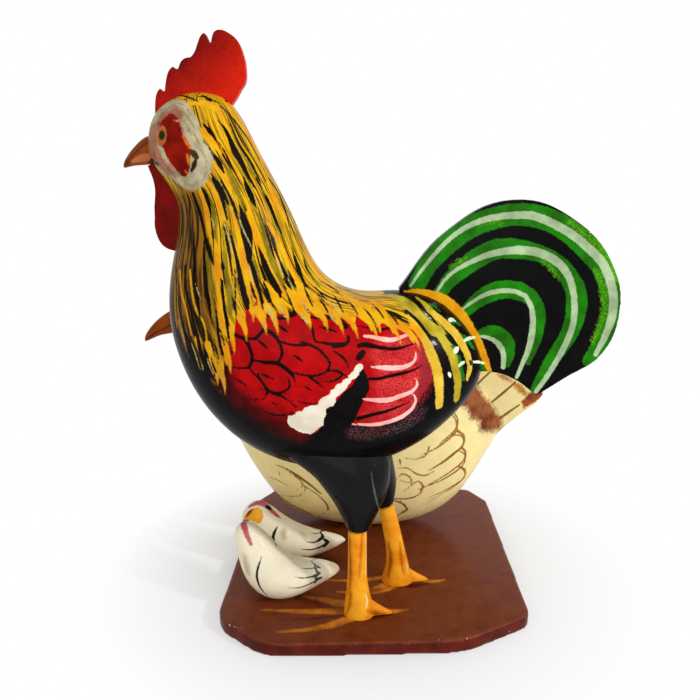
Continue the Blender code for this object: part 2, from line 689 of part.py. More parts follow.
def build_leg(name, sections, cuff_slant, leg_y, thigh, board):
    """One leg: shank, flared foot and rear toe, with a tenon at each end."""
    top_height, top_middle = sections[0][0], sections[0][1]
    low_high = []
    for height, middle, width, depth in sections:
        rise = cuff_slant * (height / top_height) ** 2 / 2.0
        front = (middle - width / 2.0, height - rise)
        rear = (middle + width / 2.0, height + rise)
        low_high.append((front, rear, depth))
    foot_middle = sections[-1][1]
    cap = ((top_middle, top_height), (top_middle, top_height), 0.0)
    sole = ((foot_middle, sections[-1][0]), (foot_middle, sections[-1][0]), 0.0)
    leg = loft(name, [cap] + low_high + [sole], leg_y, LEG_SIDES, "leg_paint")

    toe_sections = [
        ((foot_middle + reach, TOE_FLOOR), (foot_middle + reach, height), half)
        for reach, height, half in REAR_TOE_SECTIONS]
    first, last = toe_sections[0], toe_sections[-1]
    root = ((first[0][0], first[1][1] / 2.0),) * 2 + (0.0,)
    tip = ((last[0][0] + 0.4, 0.0),) * 2 + (0.0,)
    toe = loft(
        name + "_rear_toe", [root] + toe_sections + [tip], leg_y + TOE_OFFSET, TOE_SIDES)
    join(leg, toe)
    seat_on_board(leg, name + "_sole")

    shank_low = Vector((sections[2][1], 0.0, sections[2][0]))
    lean = (Vector((top_middle, 0.0, top_height)) - shank_low).normalized()
    cuff = Vector((top_middle, leg_y, board_top(top_height)))
    tenon_top = cuff + lean * THIGH_TENON_LENGTH
    tenon_root = cuff - lean * 4.0
    join(leg, rod(name + "_thigh_tenon", tenon_root, tenon_top, TENON_RADIUS))
    cut(thigh, rod(
        name + "_thigh_bore", tenon_root, tenon_top + lean * CLEARANCE, TENON_RADIUS + CLEARANCE))

    foot = Vector((foot_middle, leg_y, board_top(3.0)))
    tenon_foot = Vector((foot_middle, leg_y, BOARD_THICKNESS - FOOT_TENON_DEPTH))
    join(leg, rod(name + "_board_tenon", foot, tenon_foot, TENON_RADIUS))
    deeper = tenon_foot - Vector((0.0, 0.0, CLEARANCE))
    cut(board, rod(name + "_board_bore", foot, deeper, TENON_RADIUS + CLEARANCE))


def build_thigh(name, sections, leg_y, body):
    """One thigh, its round top let into the belly and held there by a peg."""
    cut(body, loft(name + "_seat", sections, leg_y, THIGH_SIDES, grow=CLEARANCE))
    return loft(name, sections, leg_y, THIGH_SIDES, "thigh_paint")


def build_thigh_peg(name, body, thigh, sections, leg_y):
    """A dowel, half in the thigh and half in the belly."""
    x, z = sections[0][0]
    middle = Vector((x, leg_y, board_top(z)))
    half = Vector((0.0, 0.0, PEG_LENGTH / 2.0))
    spare = Vector((0.0, 0.0, CLEARANCE))
    rod(name, middle - half, middle + half, PEG_RADIUS, "bare_wood", 12)
    bore = rod(
        name + "_bore", middle - half - spare, middle + half + spare, PEG_RADIUS + CLEARANCE,
        sides=12)
    cut(body, bore)
    cut(thigh, bore)


def build_rooster(board):
    body = loft("rooster_body", ROOSTER_SECTIONS, ROOSTER_Y, BODY_SIDES, "rooster_paint")
    tail = plate("rooster_tail", TAIL_OUTLINE, TAIL_THICKNESS, ROOSTER_Y, "tail_paint")
    build_tail_nails(body, tail)
    cut(body, rear_kerf("rooster_tail_kerf", TAIL_OUTLINE, TAIL_THICKNESS, ROOSTER_Y))
    build_head_pieces(
        "rooster", body, ROOSTER_Y,
        (COMB_OUTLINE, COMB_KERF, COMB_THICKNESS),
        (WATTLE_OUTLINE, WATTLE_TAB, WATTLE_THICKNESS, 6.0, 0.0),
        ROOSTER_BEAK_SECTIONS, "beak_paint")
    left = build_thigh("rooster_left_thigh", LEFT_THIGH_SECTIONS, LEFT_LEG_Y, body)
    right = build_thigh("rooster_right_thigh", RIGHT_THIGH_SECTIONS, RIGHT_LEG_Y, body)
    build_thigh_peg("rooster_left_thigh_peg", body, left, LEFT_THIGH_SECTIONS, LEFT_LEG_Y)
    build_thigh_peg("rooster_right_thigh_peg", body, right, RIGHT_THIGH_SECTIONS, RIGHT_LEG_Y)
    build_leg("rooster_left_leg", LEFT_LEG_SECTIONS, LEFT_CUFF_SLANT, LEFT_LEG_Y, left, board)
    build_leg(
        "rooster_right_leg", RIGHT_LEG_SECTIONS, RIGHT_CUFF_SLANT, RIGHT_LEG_Y, right, board)


def build_hen(board):
    body = loft("hen_body", HEN_SECTIONS, HEN_Y, BODY_SIDES, "hen_paint")
    seat_on_board(body, "hen_seat")
    cut(body, rear_kerf("hen_tail_kerf", HEN_TAIL_OUTLINE, HEN_TAIL_THICKNESS, HEN_Y))
    plate("hen_tail", HEN_TAIL_OUTLINE, HEN_TAIL_THICKNESS, HEN_Y, "hen_paint")
    build_head_pieces(
        "hen", body, HEN_Y,
        (HEN_COMB_OUTLINE, HEN_COMB_KERF, HEN_COMB_THICKNESS),
        (HEN_WATTLE_OUTLINE, HEN_WATTLE_TAB, HEN_WATTLE_THICKNESS, 0.0, 0.0),
        HEN_BEAK_SECTIONS, "hen_beak_paint")
    board_nail("hen_front_nail", board, body, HEN_NAILS_X[0], HEN_Y, HEN_NAIL_BITE)
    board_nail("hen_rear_nail", board, body, HEN_NAILS_X[1], HEN_Y, HEN_NAIL_BITE)


def build_chicks(board):
    front = loft(
        "front_chick", FRONT_CHICK_SECTIONS, FRONT_CHICK_Y, CHICK_SIDES, "chick_paint")
    rear = loft("rear_chick", REAR_CHICK_SECTIONS, REAR_CHICK_Y, CHICK_SIDES, "chick_paint")
    seat_on_board(front, "front_chick_seat")
    seat_on_board(rear, "rear_chick_seat")
    board_nail(
        "front_chick_nail", board, front, FRONT_CHICK_NAIL_X, FRONT_CHICK_Y, CHICK_NAIL_BITE)
    board_nail("rear_chick_nail", board, rear, REAR_CHICK_NAIL_X, REAR_CHICK_Y, CHICK_NAIL_BITE)


clear_scene()
PARTS = make_collection("wooden_rooster_group")
CUTTERS = make_collection("cutters")
base = build_board()
build_rooster(base)
build_hen(base)
build_chicks(base)
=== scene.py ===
"""Carves and paints the visible pieces of the rooster, hen and chicks on their board.

The carving tables are in millimetres, with heights from the top of the board, as in the part's
own source. Paint is laid stroke by stroke: a stroke is a line of points as the photograph's
camera sees them, dropped onto the carved surface, and every vertex stores how deep it lies
inside the nearest stroke of each colour.
"""

import math

import bmesh
import bpy
import numpy as np
from bpy.props import FloatProperty, FloatVectorProperty, IntProperty, PointerProperty
from bpy.types import Operator, Panel, PropertyGroup
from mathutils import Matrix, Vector
from mathutils.bvhtree import BVHTree


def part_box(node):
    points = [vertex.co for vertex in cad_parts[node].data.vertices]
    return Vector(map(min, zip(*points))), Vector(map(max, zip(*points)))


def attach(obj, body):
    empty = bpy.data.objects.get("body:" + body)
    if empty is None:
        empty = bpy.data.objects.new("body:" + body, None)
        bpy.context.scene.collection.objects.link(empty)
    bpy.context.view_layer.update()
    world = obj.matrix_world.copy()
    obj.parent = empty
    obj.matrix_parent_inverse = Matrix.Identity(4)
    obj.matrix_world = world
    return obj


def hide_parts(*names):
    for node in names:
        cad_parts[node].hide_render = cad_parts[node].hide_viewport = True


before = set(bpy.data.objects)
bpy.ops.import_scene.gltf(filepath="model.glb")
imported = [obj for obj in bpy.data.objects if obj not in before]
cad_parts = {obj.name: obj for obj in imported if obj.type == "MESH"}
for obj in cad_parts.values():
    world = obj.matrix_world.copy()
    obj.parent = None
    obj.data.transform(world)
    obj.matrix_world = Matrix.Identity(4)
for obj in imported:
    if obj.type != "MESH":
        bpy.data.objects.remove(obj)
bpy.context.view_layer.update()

bl_info = {
    "name": "Painted rooster group",
    "version": (1, 0, 0),
    "blender": (4, 5, 0),
    "location": "3D View > Sidebar > Rooster",
    "description": "Carves and paints a wooden rooster, hen and chicks on their board",
    "category": "Add Mesh",
}

MM = 0.001
BOARD_TOP = 6.35

# The photograph's camera, in millimetres
CAMERA_PLACE = (-12.0, -336.0, 187.35)
CAMERA_TILT = math.radians(12.4)
PHOTO_SIDE = 700.0
LENS = 36.0
SENSOR = 36.0
PHOTO_SCALE = PHOTO_SIDE * LENS / SENSOR

# Middle plane of each bird
ROOSTER_Y = -44.0
HEN_Y = 37.0
FRONT_CHICK_Y = -41.7
REAR_CHICK_Y = -5.0
LEFT_LEG_Y = -57.0
RIGHT_LEG_Y = -29.5

# Sections of the carvings, nose to rump: underside point, back point, half width. A carving
# begins and ends with the point in which it closes.
ROOSTER_SECTIONS = (
    (-76.0, 221.6), ((-89.2, 214.6), (-61.5, 220.2), 10.0), ((-92.4, 205.5), (-55.6, 212.8), 15.5),
    ((-93.0, 196.2), (-50.4, 202.2), 17.5), ((-86.8, 188.2), (-45.6, 193.0), 18.0),
    ((-81.2, 179.0), (-39.9, 182.4), 18.5), ((-81.6, 168.0), (-34.2, 170.6), 20.0),
    ((-84.8, 156.5), (-29.0, 157.4), 23.0), ((-87.4, 143.0), (-21.6, 146.6), 26.0),
    ((-87.8, 128.0), (-8.6, 141.2), 28.5), ((-83.9, 111.8), (4.2, 142.0), 30.5),
    ((-75.6, 93.6), (13.4, 142.5), 31.5), ((-60.4, 77.0), (22.6, 139.9), 32.0),
    ((-40.0, 66.8), (31.0, 134.2), 31.0), ((-16.6, 64.2), (37.2, 127.4), 28.0),
    ((5.4, 69.8), (41.8, 120.0), 23.0), ((22.6, 80.6), (44.3, 112.4), 16.0),
    ((33.8, 92.6), (43.6, 105.6), 8.0), (40.4, 99.0),
)
HEN_SECTIONS = (
    (-108.0, 116.0), ((-106.6, 109.0), (-103.8, 124.2), 8.0),
    ((-100.2, 102.8), (-95.2, 129.8), 11.5), ((-92.7, 96.5), (-83.5, 128.4), 13.0),
    ((-87.2, 86.5), (-71.5, 120.2), 15.0), ((-82.6, 74.0), (-59.0, 110.6), 18.5),
    ((-78.2, 60.0), (-46.0, 102.0), 23.5), ((-71.0, 44.4), (-32.0, 96.0), 28.0),
    ((-62.6, 29.4), (-17.0, 91.6), 31.0), ((-51.8, 13.6), (-2.0, 89.2), 33.0),
    ((-35.2, 3.2), (12.0, 88.2), 33.5), ((-11.0, -1.4), (26.0, 88.0), 33.0),
    ((14.0, -1.2), (38.0, 87.5), 30.5), ((35.5, 5.6), (46.0, 86.8), 25.5),
    ((48.8, 16.2), (51.0, 86.2), 20.0), ((57.4, 29.0), (55.0, 84.4), 14.5),
    ((64.6, 42.0), (59.5, 80.0), 10.0), ((70.4, 51.4), (64.8, 73.2), 6.5), (70.6, 62.6),
)
FRONT_CHICK_SECTIONS = (
    (-61.2, 36.4), ((-64.6, 33.0), (-57.0, 36.0), 4.2), ((-64.5, 27.8), (-52.5, 32.6), 6.0),
    ((-63.5, 21.5), (-48.2, 27.9), 7.5), ((-62.2, 14.5), (-43.5, 21.8), 9.5),
    ((-59.0, 6.5), (-38.5, 18.0), 11.3), ((-52.5, 0.6), (-33.5, 16.8), 11.8),
    ((-44.0, -1.2), (-29.5, 16.6), 10.5), ((-35.0, 1.0), (-25.5, 16.8), 7.8),
    ((-27.0, 5.2), (-21.5, 16.3), 4.8), ((-20.4, 9.0), (-17.8, 15.0), 2.4), (-16.2, 12.2),
)
REAR_CHICK_SECTIONS = (
    (-62.4, 29.2), ((-66.8, 24.0), (-58.0, 29.8), 4.5), ((-67.6, 18.8), (-53.0, 28.1), 6.5),
    ((-63.2, 13.0), (-48.0, 23.0), 8.0), ((-59.2, 6.5), (-43.0, 19.0), 10.0),
    ((-53.2, 0.8), (-37.5, 16.0), 10.5), ((-45.0, -1.2), (-32.5, 13.8), 10.5),
    ((-36.0, -0.8), (-28.0, 12.6), 9.0), ((-28.0, 1.0), (-23.5, 11.8), 6.5),
    ((-20.5, 4.2), (-18.2, 11.1), 3.6), (-12.6, 8.2),
)
ROOSTER_BEAK_SECTIONS = (
    (-84.6, 199.6), ((-85.2, 196.6), (-85.2, 202.8), 3.2), ((-89.6, 194.4), (-89.6, 204.6), 4.8),
    ((-93.4, 193.2), (-93.0, 204.8), 5.0), ((-97.0, 193.2), (-96.4, 202.4), 4.0),
    ((-100.4, 192.8), (-100.2, 198.6), 2.6), ((-102.9, 192.0), (-102.9, 195.0), 1.2),
    (-103.6, 192.4),
)
HEN_BEAK_SECTIONS = (
    (-99.5, 115.6), ((-100.2, 112.4), (-100.0, 119.2), 3.0),
    ((-105.0, 109.2), (-104.4, 122.4), 4.8), ((-109.6, 108.2), (-108.6, 121.0), 4.8),
    ((-114.4, 107.6), (-113.4, 118.0), 4.0), ((-119.0, 105.6), (-118.6, 113.6), 2.8),
    ((-122.8, 103.8), (-123.0, 107.8), 1.3), (-123.8, 104.2),
)
LEFT_THIGH_SECTIONS = (
    (-20.0, 87.0), ((-46.0, 82.5), (1.0, 82.5), 7.5), ((-41.0, 75.5), (4.0, 75.5), 9.6),
    ((-33.4, 70.5), (5.2, 70.5), 10.6), ((-27.4, 65.8), (5.2, 65.8), 10.9),
    ((-23.6, 60.5), (4.5, 60.5), 10.6), ((-18.9, 53.6), (2.8, 54.6), 9.0),
    ((-15.4, 46.0), (-0.8, 46.8), 6.6), ((-13.4, 41.6), (-3.2, 41.6), 5.0),
    ((-13.2, 40.6), (-3.4, 40.6), 4.8), (-8.3, 40.6),
)
RIGHT_THIGH_SECTIONS = (
    (-4.5, 83.0), ((-13.0, 79.5), (3.5, 79.5), 7.5), ((-15.0, 71.0), (6.0, 71.0), 10.5),
    ((-12.8, 61.0), (8.0, 61.0), 10.8), ((-8.8, 52.2), (9.9, 52.0), 9.0),
    ((-4.0, 45.4), (9.4, 46.8), 6.6), ((0.2, 39.6), (8.7, 42.0), 5.0),
    ((0.6, 38.0), (8.6, 40.4), 4.8), (4.6, 39.2),
)

# Legs, cuff to sole: height, middle, width, half depth
LEFT_LEG_SECTIONS = (
    (40.2, -8.8, 8.2, 4.0), (39.2, -8.8, 8.2, 4.0), (25.7, -8.8, 8.2, 4.0), (17.5, -8.8, 8.5, 4.0),
    (11.7, -8.6, 10.0, 4.3), (6.8, -8.4, 11.8, 5.0), (3.4, -8.0, 12.8, 5.8),
    (1.0, -7.9, 13.8, 6.4), (-1.6, -7.9, 14.0, 6.5),
)
RIGHT_LEG_SECTIONS = (
    (38.6, 4.9, 7.0, 3.8), (37.6, 5.2, 7.1, 3.8), (27.0, 7.7, 8.1, 4.0), (17.0, 9.6, 8.7, 4.0),
    (11.0, 10.5, 10.2, 4.3), (6.0, 10.7, 12.2, 5.0), (3.0, 10.8, 13.8, 5.8),
    (1.0, 10.8, 15.2, 6.4), (-1.6, 10.8, 15.6, 6.5),
)
RIGHT_CUFF_SLANT = 2.4

# Rear toe, from the foot backwards: reach, height, half width
REAR_TOE_SECTIONS = (
    (0.0, 10.0, 3.4), (4.5, 7.0, 3.2), (8.5, 4.0, 2.4), (12.5, 1.9, 1.4), (14.6, 1.0, 0.6),
)
REAR_TOE_UNDERSIDE = -1.4
REAR_TOE_ROOT = 5.0
REAR_TOE_POINT = 0.4

# Outlines of the flat pieces in the side view. A point marked True is a corner.
COMB_OUTLINE = (
    (-89.0, 212.4, True), (-88.7, 217.2), (-87.7, 220.9), (-86.5, 222.3, True),
    (-84.8, 220.5, True), (-84.1, 224.8), (-82.7, 228.8), (-81.1, 230.4, True),
    (-79.1, 229.0, True), (-78.2, 231.5), (-76.6, 233.2), (-73.8, 233.8, True), (-72.3, 235.8),
    (-71.0, 238.9), (-69.5, 241.8), (-68.3, 242.5), (-67.2, 240.8), (-65.9, 237.7, True),
    (-65.3, 241.3), (-64.0, 243.3), (-61.7, 243.7), (-58.8, 242.5), (-55.9, 240.2), (-53.8, 235.8),
    (-52.6, 229.2), (-53.1, 224.5), (-54.9, 221.8), (-56.6, 218.9), (-60.6, 213.8, True),
)
WATTLE_OUTLINE = (
    (-93.2, 193.0, True), (-91.0, 185.6), (-91.6, 174.0), (-91.2, 165.6), (-88.2, 160.6),
    (-83.0, 158.6, True), (-80.6, 162.0), (-80.0, 167.0), (-79.2, 178.0, True),
    (-79.2, 190.6, True), (-87.0, 195.4, True),
)
TAIL_OUTLINE = (
    (8.2, 143.2, True), (26.8, 166.2), (54.4, 179.6), (80.6, 171.0), (97.6, 151.0), (100.8, 132.6),
    (94.4, 115.2), (80.0, 105.2), (68.0, 97.2, True), (58.4, 104.4), (47.4, 107.8), (40.6, 107.0),
    (35.6, 101.0, True),
)
HEN_COMB_OUTLINE = (
    (-102.4, 123.9, True), (-104.0, 127.6), (-102.2, 131.4, True), (-100.4, 129.6, True),
    (-99.4, 133.0), (-97.0, 135.6), (-95.2, 132.8, True), (-93.4, 136.4), (-90.4, 138.0),
    (-86.2, 135.0), (-82.6, 130.4), (-81.4, 124.5, True),
)
HEN_WATTLE_OUTLINE = (
    (-103.6, 104.8, True), (-103.6, 101.6), (-101.6, 98.0), (-99.2, 98.2), (-97.8, 101.2, True),
    (-97.8, 107.4, True), (-103.6, 107.4, True),
)
HEN_TAIL_OUTLINE = (
    (50.5, 86.2, True), (58.0, 100.0), (67.0, 110.0), (78.0, 106.4), (89.0, 92.0), (94.6, 77.0),
    (93.4, 73.2), (80.4, 61.6), (72.6, 54.4), (63.0, 44.0, True),
)
FLAT_THICKNESS = {
    "comb": 5.0, "wattle": 4.5, "tail": 6.0, "hen_comb": 4.0, "hen_wattle": 3.5, "hen_tail": 5.0}

# Board: cut corners (x, y, radius) before the blank's lean
BOARD_SIDE_LEAN = 0.024
BOARD_FRONT_LEAN = 0.032
BOARD_CORNERS = (
    (-69.5, -57.5, 17.0), (-46.5, -78.0, 24.0), (37.5, -78.0, 36.0), (69.5, -60.5, 9.0),
    (69.5, 61.0, 5.0), (60.5, 78.0, 5.0), (-60.5, 78.0, 5.0), (-69.5, 61.0, 5.0),
)
CORNER_STEPS = 8

# Vertices round each ring of a carving
BODY_SIDES = 20
LIMB_SIDES = 14
BEAK_SIDES = 12
TOE_SIDES = 10

# How often a sawn piece or a leg is rubbed smooth. A leg has its own subdivision and its own
# voxel, in millimetres, and a comb's voxel is a share of the plates'.
BOARD_RUBS = 5
PLATE_RUBS = 8
LEG_RUBS = 12
LEG_LEVEL = 3
LEG_GRAIN = 0.35
COMB_FINENESS = 0.7

# Tail nails, in millimetres
TAIL_NAILS = ("rooster_tail_upper_nail", "rooster_tail_lower_nail")
NAIL_SIDES = 20
NAIL_RADIUS = 0.7
NAIL_HEAD_SPREAD = 1.8
NAIL_HEAD_HEIGHT = 0.35
NAIL_DOME_SPREAD = 0.8
NAIL_DOME_INSET = 0.35
NAIL_EDGE = 0.08

# Enamel: the scales of its noises, the noise between which its shade, its bristle marks and its
# gloss change, the heights of a layer and of the relief, and what the paint and varnish bend light
FINE_GRAIN = 900.0
BROAD_GRAIN = 140.0
BRISTLE_GRAIN = 2200.0
SHADE_DRIFT = (0.35, 0.65)
BRISTLE_EDGE = (0.08, 0.1)
GLOSS_DRIFT = (0.3, 0.7)
GLOSS_SPAN = (0.05, 0.07)
LAYER_HEIGHT = 0.25
RELIEF_DEPTH = 0.0004
PAINT_IOR = 1.3
VARNISH_IOR = 1.4
VARNISH_ROUGHNESS = 0.06
SPECULAR_PER_SHINE = 1.5

# Layers of paint that run from the rooster's rump over onto its tail board
GREEN_SADDLE_COAT = ("saddle_green", (0.05, 0.42, 0.1), (0.1, 0.5, 0.1), 0.15, 0.3)
ORANGE_SADDLE_COAT = ("saddle_orange", (0.88, 0.56, 0.05), (0.96, 0.68, 0.08), 0.2, 0.6)
WHITE_SADDLE_COAT = ("saddle_white", (0.85, 0.95, 0.75), (0.97, 0.97, 0.9), 0.12, 0.3)

# Stage in metres: each lamp's name, place, size and share of the lamp power, and where the floor
# fades from lit to plain white
LAMPS = (
    ("key_lamp", (1.02, -0.62, 0.7), 0.07, 0.9),
    ("front_lamp", (-0.1, -1.15, 0.45), 0.9, 0.55),
    ("top_lamp", (0.3, 0.1, 1.2), 0.9, 0.3),
)
LAMP_AIM = (-0.01, -0.02, 0.12)
FLOOR_SIDE = 8.0
FLOOR_CUTS = 8
FLOOR_FADE = (0.04, 0.14)
WHITE = (1.0, 1.0, 1.0, 1.0)
FLOOR_WHITE = (0.97, 0.97, 0.97, 1.0)

# Windows on the photograph in which strokes are placed: left, top, units per photograph pixel
HEAD = (150.0, 90.0, 14.25)
THROAT = (160.0, 180.0, 15.68)
NECK = (220.0, 180.0, 13.07)
BREAST = (170.0, 270.0, 13.07)
SHOULDER = (235.0, 280.0, 14.25)
WING = (215.0, 310.0, 12.06)
WING_REAR = (335.0, 300.0, 11.2)
SADDLE = (330.0, 270.0, 9.22)
TAIL = (380.0, 180.0, 6.03)
FAN = (390.0, 190.0, 6.272)
HEN_TAIL = (440.0, 350.0, 14.25)
FLANK = (200.0, 270.0, 6.272)
HEN = (245.0, 400.0, 6.817)
BOARD = (215.0, 555.0, 4.9)
CHICK = (225.0, 490.0, 12.544)
PHOTO = (0.0, 0.0, 1.0)

# Areas of one colour: window, then x and y of every corner of the border, in the window's units
HACKLE_AREA = (FLANK, (
    -376, -376, -376, -1317, 314, -1317, 627, -564, 909, -50, 1090, -50, 1100, 100, 1180, 165,
    1250, 215, 1300, 300, 1335, 400, 1346, 466, 1290, 395, 1240, 330, 1214, 406, 1175, 335, 1150,
    292, 1110, 366, 1095, 320, 1082, 392, 1030, 310, 985, 265, 962, 386, 925, 305, 898, 255, 868,
    352, 830, 300, 800, 255, 785, 357, 745, 290, 704, 215, 680, 352, 632, 290, 588, 245, 540, 304,
    522, 240, 500, 160, 468, 350, 444, 270, 425, 188, 405, 380, 377, 270, 352, 180, 325, 294, 304,
    245, 288, 220, 281, 407, 255, 320, 228, 270, 206, 489, 192, 380, 178, 330, 182, 607, 165, 520,
    150, 455, 150, 748, 128, 640, 112, 545, 105, 694, 90, 580, 82, 500, 75, 602, 50, 510, 30, 420,
    8, 570, -10, 470, -25, 410, -40, 530, -60, 440, -75, 400, -100, 490, -120, 400, -140, 350,
    -170, 440, -300, 300))
WING_RED_AREA = (PHOTO, (
    224, 330, 228, 300, 300, 290, 392, 300, 416.7, 330, 424.3, 348, 432.3, 370.5, 431.9, 380.4,
    424.3, 392, 414.6, 402, 392, 423.2, 370.7, 426.8, 353, 425, 330, 428, 311, 434, 298, 429.4,
    288, 422.8, 277, 419.6, 257, 409.4, 240.8, 395, 228.6, 379))
WING_GAP_AREA = (WING_REAR, (
    300, 730, 345, 830, 380, 900, 385, 1000, 330, 1110, 270, 1230, 230, 1330, 200, 1390, 100, 1440,
    -60, 1480, -200, 1500, -80, 1180, 0, 1150, 100, 1030, 190, 960, 240, 870))
WING_WHITE_AREA = (FLANK, (
    1000, 584, 972, 606, 958, 640, 934, 655, 930, 680, 902, 684, 884, 714, 854, 716, 846, 744, 818,
    756, 812, 784, 772, 798, 744, 816, 742, 846, 696, 850, 650, 868, 642, 890, 604, 884, 596, 910,
    552, 914, 546, 950, 560, 985, 600, 1000, 640, 1020, 695, 1032, 738, 1000, 776, 970, 776, 930,
    792, 902, 788, 870, 832, 854, 852, 828, 852, 800, 888, 772, 920, 742, 938, 712, 950, 690, 992,
    668, 1000, 640, 1026, 620, 1022, 596))
# Painted sheen: dry-brushed pink specks over the right edge of the red wing, fading into the black
WING_EDGE_SHEEN_AREA = (WING_REAR, (
    900, 520, 985, 560, 1060, 680, 1090, 800, 1080, 900, 1010, 1010, 900, 1120, 850, 1100, 930,
    1000, 960, 850, 930, 740, 960, 640))
FACE_WHITE_AREA = (HEAD, (
    -20, 440, 50, 310, 160, 210, 280, 150, 390, 120, 500, 165, 560, 240, 623, 332, 672, 410, 705,
    500, 716, 600, 728, 680, 770, 745, 814, 795, 865, 880, 894, 960, 880, 1080, 850, 1210, 790,
    1330, 720, 1400, 620, 1440, 520, 1420, 440, 1375, 370, 1310, 280, 1250, 180, 1190, 90, 1110,
    20, 1010, -40, 900, -80, 780, -90, 650, -70, 530))
FACE_PINK_AREA = (HEAD, (
    70, 460, 130, 370, 240, 290, 380, 230, 480, 300, 440, 470, 200, 480, 100, 620, 120, 820, 190,
    960, 310, 1130, 400, 1250, 270, 1200, 110, 1080, 0, 950, -80, 780, -90, 650, -40, 540))
FACE_RED_AREA = (HEAD, (
    150, 450, 210, 390, 290, 330, 350, 350, 430, 440, 470, 560, 520, 690, 580, 800, 590, 880, 570,
    980, 575, 1080, 550, 1180, 510, 1240, 450, 1220, 380, 1160, 300, 1080, 240, 970, 190, 830, 130,
    780, 130, 560))
EYE_RING_AREA = (HEAD, (
    180, 500, 225, 540, 240, 640, 225, 740, 170, 800, 120, 770, 105, 680, 115, 590, 145, 520))
EYE_AREA = (HEAD, (
    175, 570, 208, 600, 218, 650, 195, 705, 155, 718, 125, 680, 128, 620, 148, 580))
# Painted shade: a darker red along the left and lower border of the red wing
WING_PAINTED_SHADE_AREA = (PHOTO, (
    216, 335, 224, 342, 229, 366, 239, 386, 256, 402, 278, 413, 299, 420, 312, 432, 300, 440, 270,
    430, 240, 410, 215, 380))
# Painted sheen: a lighter, dry-brushed pink over the rear of the red wing
WING_PAINTED_SHEEN_AREA = (PHOTO, (
    366, 352, 380, 340, 404, 334, 420, 338, 428, 352, 433, 375, 424, 396, 405, 414, 375, 424,
    362, 420, 374, 395, 378, 370))
DRY_BRUSH_AREA = (HEN, (
    690, 200, 760, 180, 900, 190, 1010, 175, 1110, 110, 1180, 40, 1240, 60, 1200, 130, 1100, 200,
    980, 240, 850, 270, 700, 260))
# Where the neck turns browner and darker down the throat: partly brown paint, partly painted shade
THROAT_AREA = (PHOTO, (
    140, 190, 203, 190, 209, 240, 214, 300, 218, 345, 212, 400, 140, 400))
CHICK_GOLD_AREA = (CHICK, (
    262, 300, 335, 235, 410, 215, 470, 255, 484, 340, 452, 405, 410, 432, 345, 392, 240, 372, 240,
    330))
HEN_FACE_AREA = (PHOTO, (
    164, 318, 170, 306, 184, 300, 197, 305, 203, 318, 198, 331, 186, 337, 172, 338, 164, 330))
HEN_TIP_AREA = (HEN_TAIL, (
    1290, 600, 1450, 590, 1480, 640, 1330, 760, 1200, 830, 1150, 740))
HEN_SADDLE_AREA = (HEN_TAIL, (
    420, 410, 520, 490, 620, 640, 720, 740, 800, 860, 870, 990, 885, 1060, 850, 1135, 720, 1170,
    560, 1150, 560, 1020, 440, 980, 380, 830, 250, 760, 270, 600, 320, 470))

